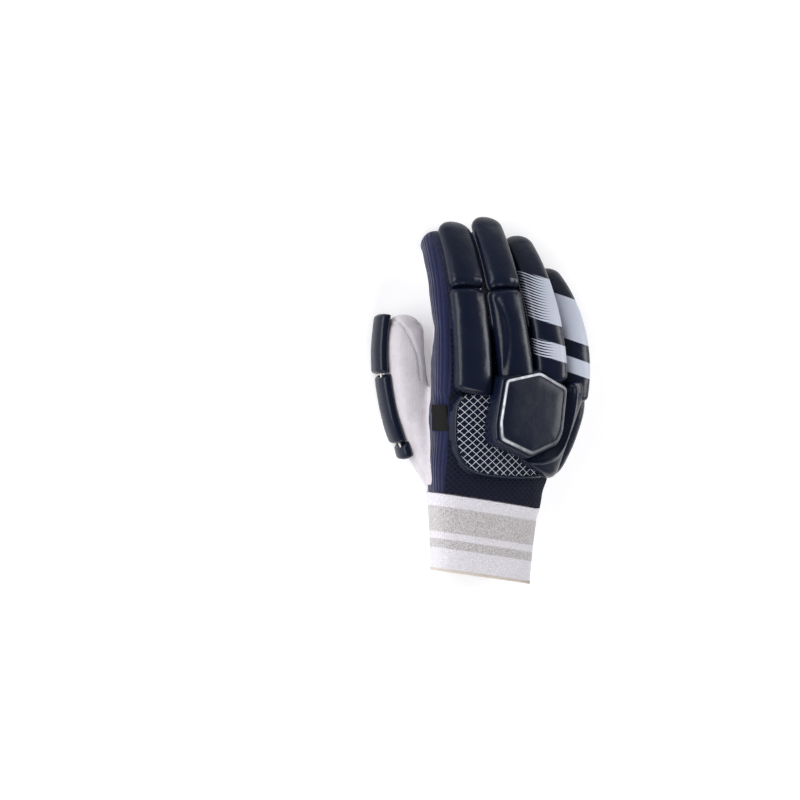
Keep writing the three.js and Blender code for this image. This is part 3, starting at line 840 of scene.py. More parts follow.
def soft_min(first, second, width=2.0):
    """The smaller of two fields, rounded where they cross."""
    gap = np.clip(0.5 + 0.5 * (second - first) / width, 0, 1)
    return second * (1 - gap) + first * gap - width * gap * (1 - gap)


def soft_max(first, second, width=2.0):
    return -soft_min(-first, -second, width)


places = {name: along_line(skin_points, line) for name, line in LINES.items()}
thumb_share, thumb_across, thumb_up = along_line(skin_points, THUMB_LINE)

x, y, z = skin_points.T
left, right, under, top, slope = hand_section(y)
PALM_SEAM = 0.36
CROTCH_Y = WRIST_Y + 1.03 * PALM_LENGTH
rise = np.clip((y - (CROTCH_Y - 28)) / 28, 0, 1)
seam_height = under + PALM_SEAM * (top - under) + 2.2 * rise * rise * (3 - 2 * rise)
palm_field = soft_min(seam_height - z, CROTCH_Y + 4 - y, 4)
for name, (share, across, up) in places.items():
    spec = FINGERS[name]
    reach = spec["width"] * FINGER_WIDTH / 2
    front = soft_min(-0.42 * FINGER_DEPTH / 2 - up, (0.9 - share) * LINES[name].length, 7)
    front = np.minimum(front, reach + 2 - np.abs(across))
    front = soft_min(front, (share - 0.27) * LINES[name].length, 4)
    front = np.where((share > 0.2) & (np.abs(across) < reach + 2), front, -10)
    palm_field = soft_max(palm_field, front, 2)
thumb_radius = np.hypot(thumb_across * THUMB_DEPTH / THUMB_WIDTH, thumb_up)
thumb_field = THUMB_DEPTH * 0.68 - thumb_radius
thumb_field = np.where((x < -20) & (y < 90) & (thumb_share > 0.02), thumb_field, -10)
thumb_field = np.where((z > 30) & (y > -60) & (x > -60), -np.abs(thumb_field) - 1, thumb_field)
RIB_SEAM = -0.412 * PALM_WIDTH
rib_field = RIB_SEAM - x
wrist_field = y - (WRIST_Y - (x - (left + right) / 2) * np.tan(math.radians(WRIST_SKEW))) - 0.2


# %% Cutting the skin along a seam
def cut(table, triangles, field):
    """Keeps the part where a field is positive. Columns of the table are blended along cut edges."""
    inside = field[triangles] > 0
    count = inside.sum(1)
    whole = triangles[count == 3]
    new_rows = [table]
    faces = [whole]
    total = len(table)
    for wanted in (1, 2):
        part = triangles[count == wanted]
        odd = np.argmax(inside[count == wanted] == (wanted == 1), axis=1)
        rows = np.arange(len(part))
        a, b, c = (part[rows, (odd + k) % 3] for k in range(3))
        low, high = np.minimum(a, b), np.maximum(a, b)
        low2, high2 = np.minimum(a, c), np.maximum(a, c)
        pairs = np.concatenate([np.stack([low, high], 1), np.stack([low2, high2], 1)])
        if len(pairs) == 0:
            continue
        mix = field[pairs[:, 0]] / (field[pairs[:, 0]] - field[pairs[:, 1]])
        fresh = table[pairs[:, 0]] * (1 - mix[:, None]) + table[pairs[:, 1]] * mix[:, None]
        new_rows.append(fresh)
        ab = total + np.arange(len(part))
        ac = ab + len(part)
        total += len(fresh)
        if wanted == 1:
            faces.append(np.stack([a, ab, ac], 1))
        else:
            faces.append(np.stack([ab, b, c], 1))
            faces.append(np.stack([ab, c, ac], 1))
    rows = np.vstack(new_rows)
    triangles = np.vstack(faces)
    used, packed = np.unique(triangles, return_inverse=True)
    return rows[used], packed.reshape(-1, 3)


COLUMN = {name: k for k, name in enumerate(
    ("x", "y", "z", "palm", "thumb", "rib", "wrist", "around", "along"))}
around = z.copy()
along = y.copy()
for name, (share, across, up) in places.items():
    reach = FINGERS[name]["width"] * FINGER_WIDTH / 2
    mine = (np.abs(across) < reach + 2.5) & (share > 0.3) & (y > CROTCH_Y - 6)
    around[mine] = (np.arctan2(across, up) * 12)[mine]
    along[mine] = (share * LINES[name].length)[mine]
index_share, _, index_up = along_line(skin_points, LINES["index"], start=-0.8, samples=150)
on_side = rib_field > -3
around[on_side] = index_up[on_side]
along[on_side] = (index_share * LINES["index"].length)[on_side]
skin_table = np.stack([x, y, z, palm_field, thumb_field, rib_field, wrist_field, around, along], 1)
open_hand, open_triangles = cut(skin_table, skin_triangles, wrist_field)
print("open hand", len(open_triangles), "triangles")


# %% Seam valleys
def seam_valley(table, column, depth, width):
    """Pulls the cloth in along a seam, most at the seam and fading over a width, in millimetres."""
    return depth * np.exp(-((table[:, COLUMN[column]] / width) ** 2))


def sheet_piece(name, table, triangles, wall):
    """A cut sheet of cloth as an object with a wall inwards."""
    thing = new_object(name, table[:, :3], triangles)
    paint_surface(thing, table[:, COLUMN["around"]], table[:, COLUMN["along"]])
    solid = thing.modifiers.new("wall", "SOLIDIFY")
    solid.thickness = wall * MM
    solid.offset = -1
    return thing


def smooth_normals(points, triangles):
    """Outward unit normals of the points of a triangle mesh, weighted by area."""
    a, b, c = (points[triangles[:, k]] for k in range(3))
    face = np.cross(b - a, c - a)
    total = np.zeros_like(points)
    for k in range(3):
        np.add.at(total, triangles[:, k], face)
    return total / np.maximum(np.linalg.norm(total, axis=1), 1e-9)[:, None]


normals = smooth_normals(open_hand[:, :3], open_triangles)
push = 0.9 * waves(open_hand[:, :3], 34, 3) + 0.35 * waves(open_hand[:, :3], 13, 5)
push *= np.clip(open_hand[:, COLUMN["wrist"]] / 12, 0, 1)
push *= np.clip(open_hand[:, 2] / 6, 0, 1)
push -= seam_valley(open_hand, "palm", 0.7, 1.6)
push -= np.where(open_hand[:, COLUMN["palm"]] > -2, seam_valley(open_hand, "thumb", 0.7, 1.6), 0)


def press_seam(plan, where, depth, width):
    """Presses a seam drawn in plan into the chosen points of the cloth."""
    chosen = np.flatnonzero(where)
    gap = np.sqrt(((open_hand[chosen, None, :2] - plan[None]) ** 2).sum(-1)).min(1)
    push[chosen] -= depth * np.exp(-((gap / width) ** 2))


thumb_seam = curve([(-77.9, 75.5), (-71, 66), (-65.6, 56), (-62, 47), (-60.5, 39), (-59.8, 30)], 120)
base_seam = curve([(-24, 14), (-18, 0), (-13, -20), (-15, -38), (-24, -50), (-36, -57)], 160)
overlay_seams = []
for aside in (-0.50, 0.26):
    centre, _, side_way, up_way = LINES["index"].at(np.linspace(0.36, 0.86, 140))
    overlay_seams.append((centre + (side_way * aside - up_way) * FINGER_DEPTH / 2)[:, :2])
hx, hy, hz = open_hand[:, 0], open_hand[:, 1], open_hand[:, 2]
on_palm = open_hand[:, COLUMN["palm"]] > 0.5
press_seam(thumb_seam, (hx < -48) & (hy > 20) & (hz > 14), 0.75, 1.1)
press_seam(base_seam, on_palm & (hx > -45) & (hx < 0) & (hy < 20) & (hz < 30), 0.7, 1.2)
for seam in overlay_seams:
    press_seam(seam, on_palm & (hx < -20) & (hy > 40), 0.55, 1.0)
open_hand[:, :3] += normals * push[:, None]

# %% The sheets of the hand
palm_part, palm_tris = cut(open_hand, open_triangles, open_hand[:, COLUMN["palm"]])
thumb_all, thumb_all_tris = cut(open_hand, open_triangles, open_hand[:, COLUMN["thumb"]])
palm_part, palm_tris = cut(palm_part, palm_tris, -palm_part[:, COLUMN["thumb"]])
knit, knit_tris = cut(open_hand, open_triangles, -open_hand[:, COLUMN["palm"]])
knit, knit_tris = cut(knit, knit_tris, -knit[:, COLUMN["thumb"]])
side, side_tris = cut(knit, knit_tris, knit[:, COLUMN["rib"]])
back, back_tris = cut(knit, knit_tris, -knit[:, COLUMN["rib"]])
print("palm", len(palm_tris), "thumb", len(thumb_all_tris), "side", len(side_tris), "back", len(back_tris))

# %% Knitted stalls of the fingers
def finger_share(table, triangles, name):
    """Cuts the stall of one finger: the part beyond the crotches that lies nearest to its line."""
    gaps = {n: np.hypot(*along_line(table[:, :3], line)[1:]) for n, line in LINES.items()}
    nearest_other = np.min([g for n, g in gaps.items() if n != name], axis=0)
    field = np.minimum(table[:, 1] - CROTCH_Y, (nearest_other - gaps[name]) / 2)
    return cut(table, triangles, field)


body_back, body_back_tris = cut(back, back_tris, CROTCH_Y - back[:, 1])
stalls = {}
for name in FINGERS:
    stalls[name] = finger_share(back, back_tris, name)
    print(name, "stall", len(stalls[name][1]), "triangles")

form = new_object("hand_form", open_hand[:, :3], open_triangles)


def lay_on(thing, gap=0.3):
    """Moves the points of a pad that lie under the cloth out onto it, a little clear of it."""
    wrap = thing.modifiers.new("lay", "SHRINKWRAP")
    wrap.target = form
    wrap.wrap_mode = "OUTSIDE"
    wrap.offset = gap * MM
    mesh = bpy.data.meshes.new_from_object(thing.evaluated_get(bpy.context.evaluated_depsgraph_get()))
    thing.modifiers.clear()
    thing.data = mesh


# %% [markdown]
# ## Padded rolls
# A roll is a foam bar in a leather sleeve, sewn down at its ends and at its groove. So each
# segment is a lofted bar with a flattened section and rounded ends, and beside a groove the
# leather is pinched into small folds.


# %% Bars along a line
def bar_rings(line, start, end, wide, thick, turn=0, seat=11.0, shift=0.0, slant=0.0, domed=False,
              folds=0.0, crease=None, shoulder=4.5, power=BAR_POWER, around=112, count=130):
    """Rings of a padded bar, with the across and along coordinate of each point in millimetres."""
    span = (end - start) * line.length
    dome = wide[1] / 2 * 0.9 if domed else 0.0
    way = span * (1 - np.cos(np.linspace(0, np.pi, count))) / 2
    part = way / span
    near = np.clip(way / shoulder, 0, 1)
    scale = 1 - 0.15 * (1 - near) ** 2.2
    deep = 1 - 0.24 * (1 - near) ** 2.2
    if domed:
        turn_in = np.clip((way - (span - dome)) / dome, 0, 1)
        shrink = np.sqrt(np.clip(1 - turn_in ** 2, 0, 1))
        scale = scale * np.maximum(shrink, 0.06)
        deep = deep * (0.45 + 0.55 * shrink)
    else:
        far = np.clip((span - way) / shoulder, 0, 1)
        scale = scale * (1 - 0.15 * (1 - far) ** 2.2)
        deep = deep * (1 - 0.24 * (1 - far) ** 2.2)
    centre, along, side, up = line.at(start + way / line.length)
    swing = math.radians(turn)
    outward = up * math.cos(swing) - side * math.sin(swing)
    across = side * math.cos(swing) + up * math.sin(swing)
    half_wide = (wide[0] + (wide[1] - wide[0]) * part) / 2 * scale
    half_thick = (thick[0] + (thick[1] - thick[0]) * part) / 2
    rise = seat * (1 - 0.15 * part) + half_thick * deep
    u, w = oval(even_oval(around, 1.0, 0.62, power), 1.0, 1.0, power)
    top = np.clip(w, 0, 1)[None, :]
    fold = np.zeros((count, around))
    ends = np.exp(-way / 5.0) * (start > 0.3) + np.exp(-(span - way) / 6.5) * (not domed)
    for place, width in ((-0.55, 0.20), (0.50, 0.22)):
        fold -= folds * ends[:, None] * np.exp(-((u[None, :] - place) / width) ** 2) * top
    offset = half_wide[:, None] * u[None, :]
    lift = half_thick[:, None] * deep[:, None] * w[None, :] + fold
    lean = -offset * math.tan(math.radians(slant)) * (1 - part)[:, None]
    points = (centre[:, None, :] + across[:, None, :] * (offset + shift)[..., None]
              + outward[:, None, :] * (rise[:, None] + lift)[..., None]
              + along[:, None, :] * lean[..., None])
    dent = 0.45 * waves(points.reshape(-1, 3), 24, 11).reshape(points.shape[:2])
    if crease is not None:
        seen = np.stack([points @ view_right, points @ view_up], -1)
        gap = np.sqrt(((seen[:, :, None] - crease) ** 2).sum(-1)).min(-1)
        dent = dent - 1.3 * np.exp(-((gap / 2.4) ** 2))
    points = points + outward[:, None, :] * (dent * np.clip(w, 0, 1)[None, :])[..., None]
    return points, offset, start * line.length + way[:, None] + lean


def bar(name, material, **sizes):
    """A padded bar that stands for the CAD node of its name."""
    rings, across, along = bar_rings(**sizes)
    thing = tube(name, rings)
    ends = ((0.0, along[0].mean()), (0.0, along[-1].mean()))
    paint_surface(thing, np.append(across.ravel(), [e[0] for e in ends]),
                  np.append(along.ravel(), [e[1] for e in ends]))
    lay_on(thing)
    finish_piece(thing, material, (name,))
    return thing


# %% Leathers of the padding
navy_leather = leather("navy_leather")
roll_leather = {
    "ring": leather("ring_roll_leather", ring_print),
    "little": leather("little_roll_leather", little_print),
}


# %% The rolls
CREASE = curve([((px - PHOTO_ZERO[0]) * PIXEL, (PHOTO_ZERO[1] - py) * PIXEL)
                for px, py in ((496, 300), (504, 318), (507, 337), (506, 356), (502, 375))], 60)
for name, spec in FINGERS.items():
    line = LINES[name]
    wide = spec["roll"] * ROLL_WIDTH
    common = dict(line=line, shift=spec["shift"] * ROLL_WIDTH, seat=FINGER_DEPTH / 2 - 1)
    if spec["groove"] is None:
        bar(f"{name}_roll", roll_leather[name], start=spec["start"], end=ROLL_END,
            wide=(wide, wide * ROLL_TIP_WIDTH), thick=(ROLL_THICKNESS, ROLL_THICKNESS * ROLL_TIP_THICKNESS),
            slant=spec["slant"], domed=True, count=190, **common)
        continue
    half = 0.6 / line.length
    middle_wide = wide * 0.93
    middle_thick = ROLL_THICKNESS * (1 + (ROLL_TIP_THICKNESS - 1) * 0.45)
    bar(f"{name}_roll_base", navy_leather, start=spec["start"],
        end=spec["groove"] - half, wide=(wide, middle_wide), thick=(ROLL_THICKNESS, middle_thick),
        slant=spec["slant"], folds=0.6, crease=CREASE if name == "middle" else None, **common)
    bar(f"{name}_roll_tip", navy_leather, start=spec["groove"] + half,
        end=ROLL_END, wide=(middle_wide, wide * ROLL_TIP_WIDTH),
        thick=(middle_thick, ROLL_THICKNESS * ROLL_TIP_THICKNESS),
        domed=True, folds=0.8, **common)

# %% Thumb guards
GUARDS = (("base", 0.2, 0.28), ("middle", 0.29, 0.655), ("tip", 0.665, 0.975))
GUARD_TURN = 94
GUARD_SEAT = THUMB_WIDTH / 2 - 2.4
for name, start, end in GUARDS:
    bar(f"thumb_guard_{name}", navy_leather, line=THUMB_LINE, start=start, end=end,
        wide=(GUARD_WIDTH, GUARD_WIDTH * 0.92), thick=(GUARD_THICKNESS, GUARD_THICKNESS),
        turn=GUARD_TURN, seat=GUARD_SEAT, shoulder=2.6)


# %% [markdown]
# ## Knuckle plate
# The plate is a stiff six-sided shield on a foam block. Its corners are rounded off by a short
# averaging of the outline, and rings of that outline at growing heights make the block.


# %% Block and plate
def plate_outline(points=240, rounding=9):
    """The plate outline as shares of its span, evenly spaced and rounded at the corners."""
    corners = np.vstack([PLATE_CORNERS, PLATE_CORNERS[:1]])
    way = np.concatenate([[0], np.cumsum(np.linalg.norm(np.diff(corners, axis=0), axis=1))])
    even = np.linspace(0, way[-1], points, endpoint=False)
    line = np.stack([np.interp(even, way, corners[:, k]) for k in range(2)], 1)
    for _ in range(rounding):
        line = (np.roll(line, 1, 0) + 2 * line + np.roll(line, -1, 0)) / 4
    return line[::-1]


PLATE_TILT = math.tan(math.radians(9.5))
PLATE_TOP = KNUCKLE_HEIGHT + PLATE_RISE
outline = plate_outline()


def plate_rings(rows):
    """Rings of the plate outline: each row is a height and a scale of the outline."""
    rings = np.empty((len(rows), len(outline), 3))
    for k, (height, scale) in enumerate(rows):
        flat = outline * PLATE_SPAN * scale
        rings[k] = np.stack([PLATE_X + flat[:, 0], PLATE_Y + flat[:, 1],
                             height - flat[:, 0] * PLATE_TILT], 1)
    return rings


block_top = PLATE_TOP - 3
block = tube("knuckle_block", plate_rings([
    (45.5, 1.04), (48, 1.045), (52, 1.045), (57, 1.042), (61, 1.033), (63.5, 1.018), (65.5, 0.995),
    (66.6, 0.97), (block_top, 0.94), (block_top, 0.6)]))
lay_on(block)
finish_piece(block, navy_leather, ("knuckle_block",))

plate = tube("knuckle_plate", plate_rings([
    (block_top + 0.3, 0.7), (block_top + 0.3, 0.93), (block_top + 0.9, 0.945), (block_top + 1.8, 0.945),
    (block_top + 2.6, 0.93), (block_top + 3.0, 0.905), (block_top + 2.9, 0.87), (block_top + 2.4, 0.85),
    (block_top + 2.4, 0.83), (block_top + 2.75, 0.78), (block_top + 3.0, 0.6), (block_top + 3.1, 0.3)]))
paint_surface(plate, np.append(np.repeat([-9, -2, -1, -0.5, 0.0, 0.5, 1.1, 1.5, 1.8, 3, 9, 15],
                                         len(outline)), [0, 20]),
              np.zeros(len(plate.data.vertices)))
# The white line round the plate's rim is a painted highlight.
finish_piece(plate, leather("plate_leather", rim_highlight, dent=0.12), ("knuckle_plate",))


# %% [markdown]
# ## Side pad and grid panel
# Both are foam under leather, cut to a curved band that lies on the back of the hand. A band is a
# sheet between an outer and an inner curve in plan. Its height over the hand follows a profile
# across the band, which gives the padded rim and the ridge.


# %% Bands on the back of the hand
def band(name, outer, inner, profile, ends, floor, count=180, wide=60):
    """A closed band: its top follows the profile over the hand, its underside lies near the cloth."""
    outer, inner = curve(outer, count), curve(inner, count)
    v = np.linspace(0, 1, wide)
    plan = outer[:, None, :] * (1 - v)[None, :, None] + inner[:, None, :] * v[None, :, None]
    reach = np.linalg.norm(outer - inner, axis=1)[:, None]
    u = np.linspace(0, 1, count)[:, None]
    length = np.linalg.norm(np.diff(outer, axis=0), axis=1).sum()
    from_end = np.minimum(u, 1 - u) * length
    rounded = np.sqrt(np.clip(1 - (1 - np.clip(from_end / ends, 0, 1)) ** 2, 0, 1)) if ends else 1.0
    base = hand_top(plan[..., 0], plan[..., 1])
    height = profile(v[None, :], v[None, :] * reach)
    top = np.concatenate([plan, (base + 0.4 + height * rounded)[..., None]], -1)
    low = np.maximum(np.minimum(base + 0.3, top[..., 2] - 0.1), floor)
    under = np.concatenate([plan, low[..., None]], -1)
    rings = np.concatenate([top, under[:, ::-1]], axis=1)[:, ::-1]
    thing = tube(name, rings)
    from_edge = np.broadcast_to(v[None, :] * reach, (count, wide))
    both = np.concatenate([from_edge, from_edge[:, ::-1]], axis=1)[:, ::-1]
    way = np.broadcast_to(u * length, both.shape)
    paint_surface(thing, np.append(both.ravel(), [0, 0]), np.append(way.ravel(), [0, length]))
    return thing


def side_profile(v, mm):
    """Rounded outer wall, a broad back, a ridge and a valley beside the block."""
    wall = (1 - (1 - np.clip(mm / 9, 0, 1)) ** 2.4) ** (1 / 2.4)
    ridge = 1.6 * np.exp(-((v - 0.66) / 0.06) ** 2)
    valley = -4.5 * np.clip((v - 0.72) / 0.28, 0, 1) ** 1.2
    return 12.0 * wall + ridge + valley


side_outer = [(47, 29), (60.4, 28.1), (65.4, 20.9), (66, 6.3), (61.6, -10.6), (55.9, -25.1),
              (47.9, -38.4), (38.8, -42.6), (28.5, -41.6), (10, -33.5)]
side_inner = [(43, 27), (42.5, 22), (41, 14), (39.5, 4), (37.5, -8), (34.5, -16),
              (29, -20), (20, -23.5), (12, -26), (4, -29)]
side_thing = band("side_pad", side_outer, side_inner, side_profile, 7, PAD_FLOOR)
lay_on(side_thing)
finish_piece(side_thing, navy_leather, ("side_pad",))


def panel_profile(_, mm):
    """A rounded rim at the outer edge, then a flat field a little lower."""
    rise = np.sqrt(np.clip(1 - (1 - np.clip(mm / 2.4, 0, 1)) ** 2, 0, 1))
    step = 0.9 * np.clip((mm - 2.6) / 1.2, 0, 1)
    return 6.0 * rise - step


panel_outer = [(-41.6, 18.4), (-46.4, 7.6), (-46.0, -15.4), (-41, -30), (-30.8, -38.6),
               (-11.4, -42.3), (9.1, -43.4), (27.4, -42.6)]
panel_inner = [(-15.5, 20), (-15.5, 10), (-14.5, -6), (-12.5, -12), (-9, -16), (0, -21), (12, -27), (25, -35)]
panel_thing = band("grid_panel", panel_outer, panel_inner, panel_profile, 3, PAD_FLOOR)
lay_on(panel_thing)
finish_piece(panel_thing, leather("grid_leather", grid_print, dent=0.15), ("grid_panel",))

# %% [markdown]
# ## Cuff, strap and tag
# The cuff is a knitted tube of towelling with a rolled lip at both ends. The strap comes round
# the little-finger side and closes on the palm side of the cuff, which lies on the table.

# %% Cuff
CUFF_TABLE = np.array([
    (0.0, -0.099, 1.045, 0.03, 1.06), (0.12, -0.1, 1.0, 0.03, 1.03),
    (0.5, -0.105, 0.945, 0.03, 1.0), (1.0, -0.115, 0.9, 0.03, 0.98)])
CUFF_SLOPE = math.tan(math.radians(WRIST_SKEW))
CUFF_REST = STRAP_THICKNESS + SEAM_GAP


def cuff_ring(share, turns, grow=0.0):
    """Points of the cuff at shares of its length, grown outwards; flat where it rests on the strap."""
    share = np.asarray(share, float)
    inside = np.clip(share, 0, 1)
    middle, width, under, top = (np.interp(inside, CUFF_TABLE[:, 0], CUFF_TABLE[:, k]) for k in range(1, 5))
    grow = np.broadcast_to(grow, share.shape)
    x, z = oval(turns, 1.0, 1.0, HAND_POWER)
    across = (width * CUFF_WIDTH / 2 + grow)[:, None] * x[None, :]
    high = (((top - under) * CUFF_DEPTH) / 2 + grow)[:, None] * z[None, :]
    points = np.empty((len(share), len(turns), 3))
    points[..., 0] = (middle * CUFF_WIDTH)[:, None] + across
    points[..., 1] = (WRIST_Y - SEAM_GAP - share * CUFF_LENGTH)[:, None] - across * CUFF_SLOPE
    points[..., 2] = ((under + top) * CUFF_DEPTH / 2)[:, None] + high
    floor = (CUFF_REST - grow)[:, None]
    points[..., 2] = np.maximum(points[..., 2], floor)
    return points


turns = even_oval(200, CUFF_WIDTH / 2, 21, HAND_POWER)
outer_share = np.linspace(0.012, 0.988, 90)
lip = np.radians(np.linspace(0, 180, 13))
half_wall = CUFF_WALL / 2
low_share = 0.988 + np.sin(lip) * half_wall / CUFF_LENGTH * 0.4
low_grow = -half_wall + np.cos(lip) * half_wall
high_share = 0.012 - np.sin(lip) * half_wall / CUFF_LENGTH * 0.4
shares = np.concatenate([outer_share, low_share[1:-1], outer_share[::-1], high_share[1:-1]])
grows = np.concatenate([np.zeros(90), low_grow[1:-1], np.full(90, -CUFF_WALL), low_grow[::-1][1:-1]])
cuff_points = cuff_ring(shares, turns, grows)
count = len(shares)
closed = np.vstack([cuff_points, cuff_points[:1]])
faces = tube_faces(count + 1, len(turns), ends=False)
cuff = new_object("cuff", closed.reshape(-1, 3), [f[::-1] for f in faces])
way_round = np.concatenate([[0], np.cumsum(np.linalg.norm(np.diff(cuff_points[0], axis=0), axis=1))])
way_round = np.minimum(way_round, way_round[-1] + way_round[1] - way_round)
paint_surface(cuff, np.tile(way_round, count + 1),
              np.repeat(np.append(shares, shares[0]) * CUFF_LENGTH, len(turns)))
weld = bmesh.new()
weld.from_mesh(cuff.data)
bmesh.ops.remove_doubles(weld, verts=weld.verts, dist=1e-7)
weld.to_mesh(cuff.data)
weld.free()
finish_piece(cuff, towelling("towelling"), ("cuff",))

# %% Strap
strap_share = 0.53
path_turns = np.linspace(math.radians(12), math.radians(-170), 400)
path = cuff_ring(np.full(1, strap_share), path_turns, SEAM_GAP)[0]
outer_path = cuff_ring(np.full(1, strap_share), path_turns, SEAM_GAP + STRAP_THICKNESS)[0]
strap_end = 0.44 * CUFF_WIDTH - STRAP_LENGTH
keep = (path[:, 2] < 0.4 * CUFF_DEPTH) & (path[:, 0] > strap_end)
path, outer_path = path[keep], outer_path[keep]
rounds = np.concatenate([[0], np.cumsum(np.linalg.norm(np.diff(path, axis=0), axis=1))])
even = np.linspace(0, rounds[-1], 140)
path = np.stack([np.interp(even, rounds, path[:, k]) for k in range(3)], 1)
outer_path = np.stack([np.interp(even, rounds, outer_path[:, k]) for k in range(3)], 1)
tip = 0.12 * STRAP_LENGTH
half_width = np.where(path[:, 0] < strap_end + tip,
                      0.2 + 0.3 * np.clip((path[:, 0] - strap_end) / tip, 0, 1), 0.5) * STRAP_WIDTH
edge = np.radians(np.linspace(-90, 90, 7))
flat = np.linspace(-1, 1, 40)
wall = STRAP_THICKNESS / 2
v = np.concatenate([flat, np.full(5, 1.0), flat[::-1], np.full(5, -1.0)])
out = np.concatenate([np.ones(40), np.sin(edge[::-1])[1:-1], -np.ones(40), np.sin(edge)[1:-1]])
extra = np.concatenate([np.zeros(40), np.cos(edge)[1:-1], np.zeros(40), -np.cos(edge)[1:-1]]) * wall * 0.8
mid = (path + outer_path) / 2
rings = mid[:, None, :] + (outer_path - path)[:, None, :] / 2 * out[None, :, None]
rings[..., 1] += v[None, :] * (half_width - wall)[:, None] + extra[None, :]
rings[..., 2] = np.maximum(rings[..., 2], 0.02)
strap = tube("wrist_strap", rings)
strap_way = np.repeat(even, len(v))
strap_side = np.broadcast_to(v[None, :] * STRAP_WIDTH / 2, rings.shape[:2]).ravel()
paint_surface(strap, np.append(strap_way, [0, even[-1]]), np.append(strap_side, [0, 0]))
finish_piece(strap, strap_face("strap_face"), ("wrist_strap",))

# %% Size tag
tag_low = 0.68 * KNUCKLE_HEIGHT
tag_y = np.linspace(PLATE_Y - 13.6, PLATE_Y + 5.2, 40)
tag_z = np.linspace(tag_low + 0.8, tag_low + 10.4, 24)
grid_y, grid_z = np.meshgrid(tag_y, tag_z, indexing="ij")
left, right, under, top, slope = hand_section(grid_y)
half_x, mid_x = (right - left) / 2, (left + right) / 2
half_z, mid_z = (top - under) / 2, (top + under) / 2
share_z = np.clip(np.abs(grid_z - mid_z) / half_z, 0, 0.999)
tag_x = mid_x - half_x * (1 - share_z ** HAND_POWER) ** (1 / HAND_POWER)
outer_tag = np.stack([tag_x - 1.2, grid_y, grid_z], -1)
inner_tag = np.stack([tag_x - 0.4, grid_y, grid_z], -1)
tag = tube("size_tag", np.concatenate([outer_tag, inner_tag[:, ::-1]], axis=1))
finish_piece(tag, tag_weave("tag_weave"), ("size_tag",))

# %% [markdown]
# ## Stitches, tacks and the overlocked edge
# The seams are sewn with short threads that lie on the surface. Each run follows a curve drawn in
# plan and dropped onto the glove, one small capsule a stitch, and each run is one mesh.


# %% Stitches
def on_form(plan, down):
    """Points of the hand above or below places in plan, with the normals there."""
    found, normals = [], []
    for x, y in plan:
        origin = (np.array([x, y, 200.0 if down else -60.0]) + SHIFT) * MM
        hit, place, normal, _ = form.ray_cast(Vector(origin), Vector((0, 0, -1 if down else 1)))
        if hit:
            found.append(np.array(place) / MM - SHIFT)
            normals.append(np.array(normal))
    return np.array(found), np.array(normals)


def capsule(half_long, radius, sides=8):
    """Points and faces of one thread: a small capsule along X."""
    stops = [(-half_long - radius * 0.6, 0.3), (-half_long, 0.85), (0, 1.0), (half_long, 0.85),
             (half_long + radius * 0.6, 0.3)]
    turn = np.arange(sides) / sides * 2 * np.pi
    rings = np.stack([
        np.stack([np.full(sides, at), np.cos(turn) * radius * size, np.sin(turn) * radius * size], 1)
        for at, size in stops])
    hubs = np.stack([rings[0].mean(0), rings[-1].mean(0)])
    return np.vstack([rings.reshape(-1, 3), hubs]), tube_faces(len(stops), sides)


def stitch_run(name, line, normals, material, pitch=2.3, long=1.5, thick=0.22, lift=0.15, turn=0):
    """One mesh of stitches along a line on a surface, each turned by an angle from the line."""
    way = np.concatenate([[0], np.cumsum(np.linalg.norm(np.diff(line, axis=0), axis=1))])
    at = np.arange(pitch / 2, way[-1], pitch)
    place = np.stack([np.interp(at, way, line[:, k]) for k in range(3)], 1)
    ahead = np.stack([np.interp(at + 0.5, way, line[:, k]) for k in range(3)], 1)
    behind = np.stack([np.interp(at - 0.5, way, line[:, k]) for k in range(3)], 1)
    out = np.stack([np.interp(at, way, normals[:, k]) for k in range(3)], 1)
    forward = ahead - behind
    forward /= np.linalg.norm(forward, axis=1)[:, None]
    side = np.cross(out, forward)
    side /= np.linalg.norm(side, axis=1)[:, None]
    out = np.cross(forward, side)
    swing = math.radians(turn)
    forward, side = (forward * math.cos(swing) + side * math.sin(swing),
                     side * math.cos(swing) - forward * math.sin(swing))
    thread, faces = capsule(long / 2, thick)
    axes = np.stack([forward, side, out], 1)
    points = np.einsum("pk,nkj->npj", thread, axes) + (place + out * lift)[:, None, :]
    every = (np.array([list(f) + [f[-1]] * (4 - len(f)) for f in faces])[None] +
             np.arange(len(at))[:, None, None] * len(thread)).reshape(-1, 4)
    thing = new_object(name, points.reshape(-1, 3),
                       [tuple(dict.fromkeys(f)) for f in every.tolist()])
    finish_piece(thing, material)


white_thread = plain("white_thread", (0.62, 0.60, 0.64), 0.7)
clear_tack = Paint("clear_tack").set(Base_Color=(0.55, 0.53, 0.50), Roughness=0.2).material


def sew(name, plan, down):
    """Drops a seam drawn in plan onto the hand and sews it with white thread."""
    found, out = on_form(plan, down)
    stitch_run(name, found, out, white_thread)


sew("thumb_seam", thumb_seam, down=True)
for number, seam in enumerate(overlay_seams):
    sew(f"index_overlay_{number}", seam, down=False)
sew("thumb_base_seam", base_seam, down=False)

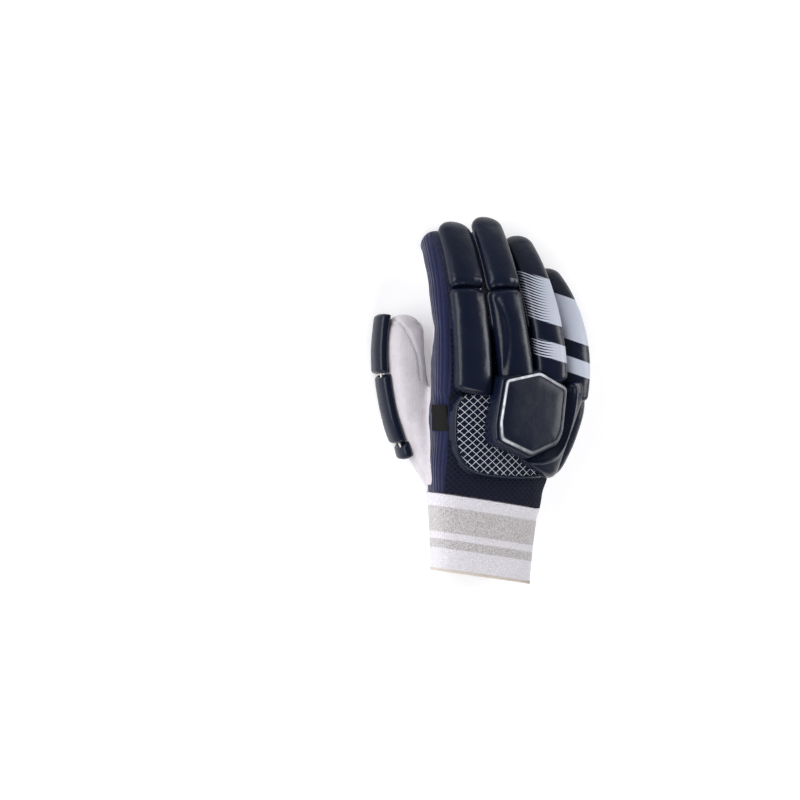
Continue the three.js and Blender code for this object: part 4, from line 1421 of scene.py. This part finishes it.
# %% Tacks of the thumb guards and the overlocked edge of the cuff
swing = math.radians(GUARD_TURN)
for number, (before, after) in enumerate(zip(GUARDS, GUARDS[1:])):
    centre, along, side_way, up_way = THUMB_LINE.at((before[2] + after[1]) / 2 + np.array([-0.02, 0.02]))
    outward = up_way * math.cos(swing) - side_way * math.sin(swing)
    across = side_way * math.cos(swing) + up_way * math.sin(swing)
    line = centre + across * GUARD_WIDTH * 0.27 + outward * (GUARD_SEAT + GUARD_THICKNESS * 0.62)
    gap = np.linalg.norm(line[1] - line[0])
    stitch_run(f"thumb_tack_{number}", line, outward, clear_tack, pitch=gap * 0.99, long=gap, thick=0.85)

edge_turns = even_oval(360, CUFF_WIDTH / 2, 21, HAND_POWER)
edge_line = cuff_ring(np.full(1, 0.982), edge_turns, 0.0)[0]
edge_out = cuff_ring(np.full(1, 0.982), edge_turns, 1.0)[0] - edge_line
edge_out[:, 2] = np.where(np.linalg.norm(edge_out, axis=1) < 0.5, -1.0, edge_out[:, 2])
overlock = plain("overlock_thread", (0.56, 0.50, 0.43), 0.75)
stitch_run("cuff_overlock", edge_line, edge_out, overlock, pitch=1.5, long=2.2, thick=0.3, turn=68)

# %% Cloth pieces with their walls
cotton = cotton_knit("cotton")
rib = rib_knit("rib_knit")
mesh_paint = mesh_cloth("mesh_cloth")
finish_piece(sheet_piece("palm", palm_part, palm_tris, CLOTH_WALL), cotton, ("palm",))
finish_piece(sheet_piece("thumb_stall", thumb_all, thumb_all_tris, CLOTH_WALL), cotton,
             ("thumb_stall",))
finish_piece(sheet_piece("side_knit", side, side_tris, CLOTH_WALL), rib, ("side_knit",))
finish_piece(sheet_piece("back_mesh", body_back, body_back_tris, CLOTH_WALL), mesh_paint,
             ("back_mesh",))
for name, (table, tris) in stalls.items():
    finish_piece(sheet_piece(f"{name}_stall", table, tris, CLOTH_WALL), rib, (f"{name}_stall",))
bpy.data.objects.remove(form)

# %% [markdown]
# ## Floor and end of the scene
# The floor is a plain pale plane, so that the glove keeps its contact shadow.

# %% Floor
floor_paint = Paint("floor_paint").set(Base_Color=FLOOR_WHITE, Roughness=0.7, Emission_Color=FLOOR_WHITE,
                                       Emission_Strength=0.22).material
bpy.ops.mesh.primitive_plane_add(size=4)
floor = bpy.context.active_object
floor.name = "floor"
floor.data.materials.append(floor_paint)
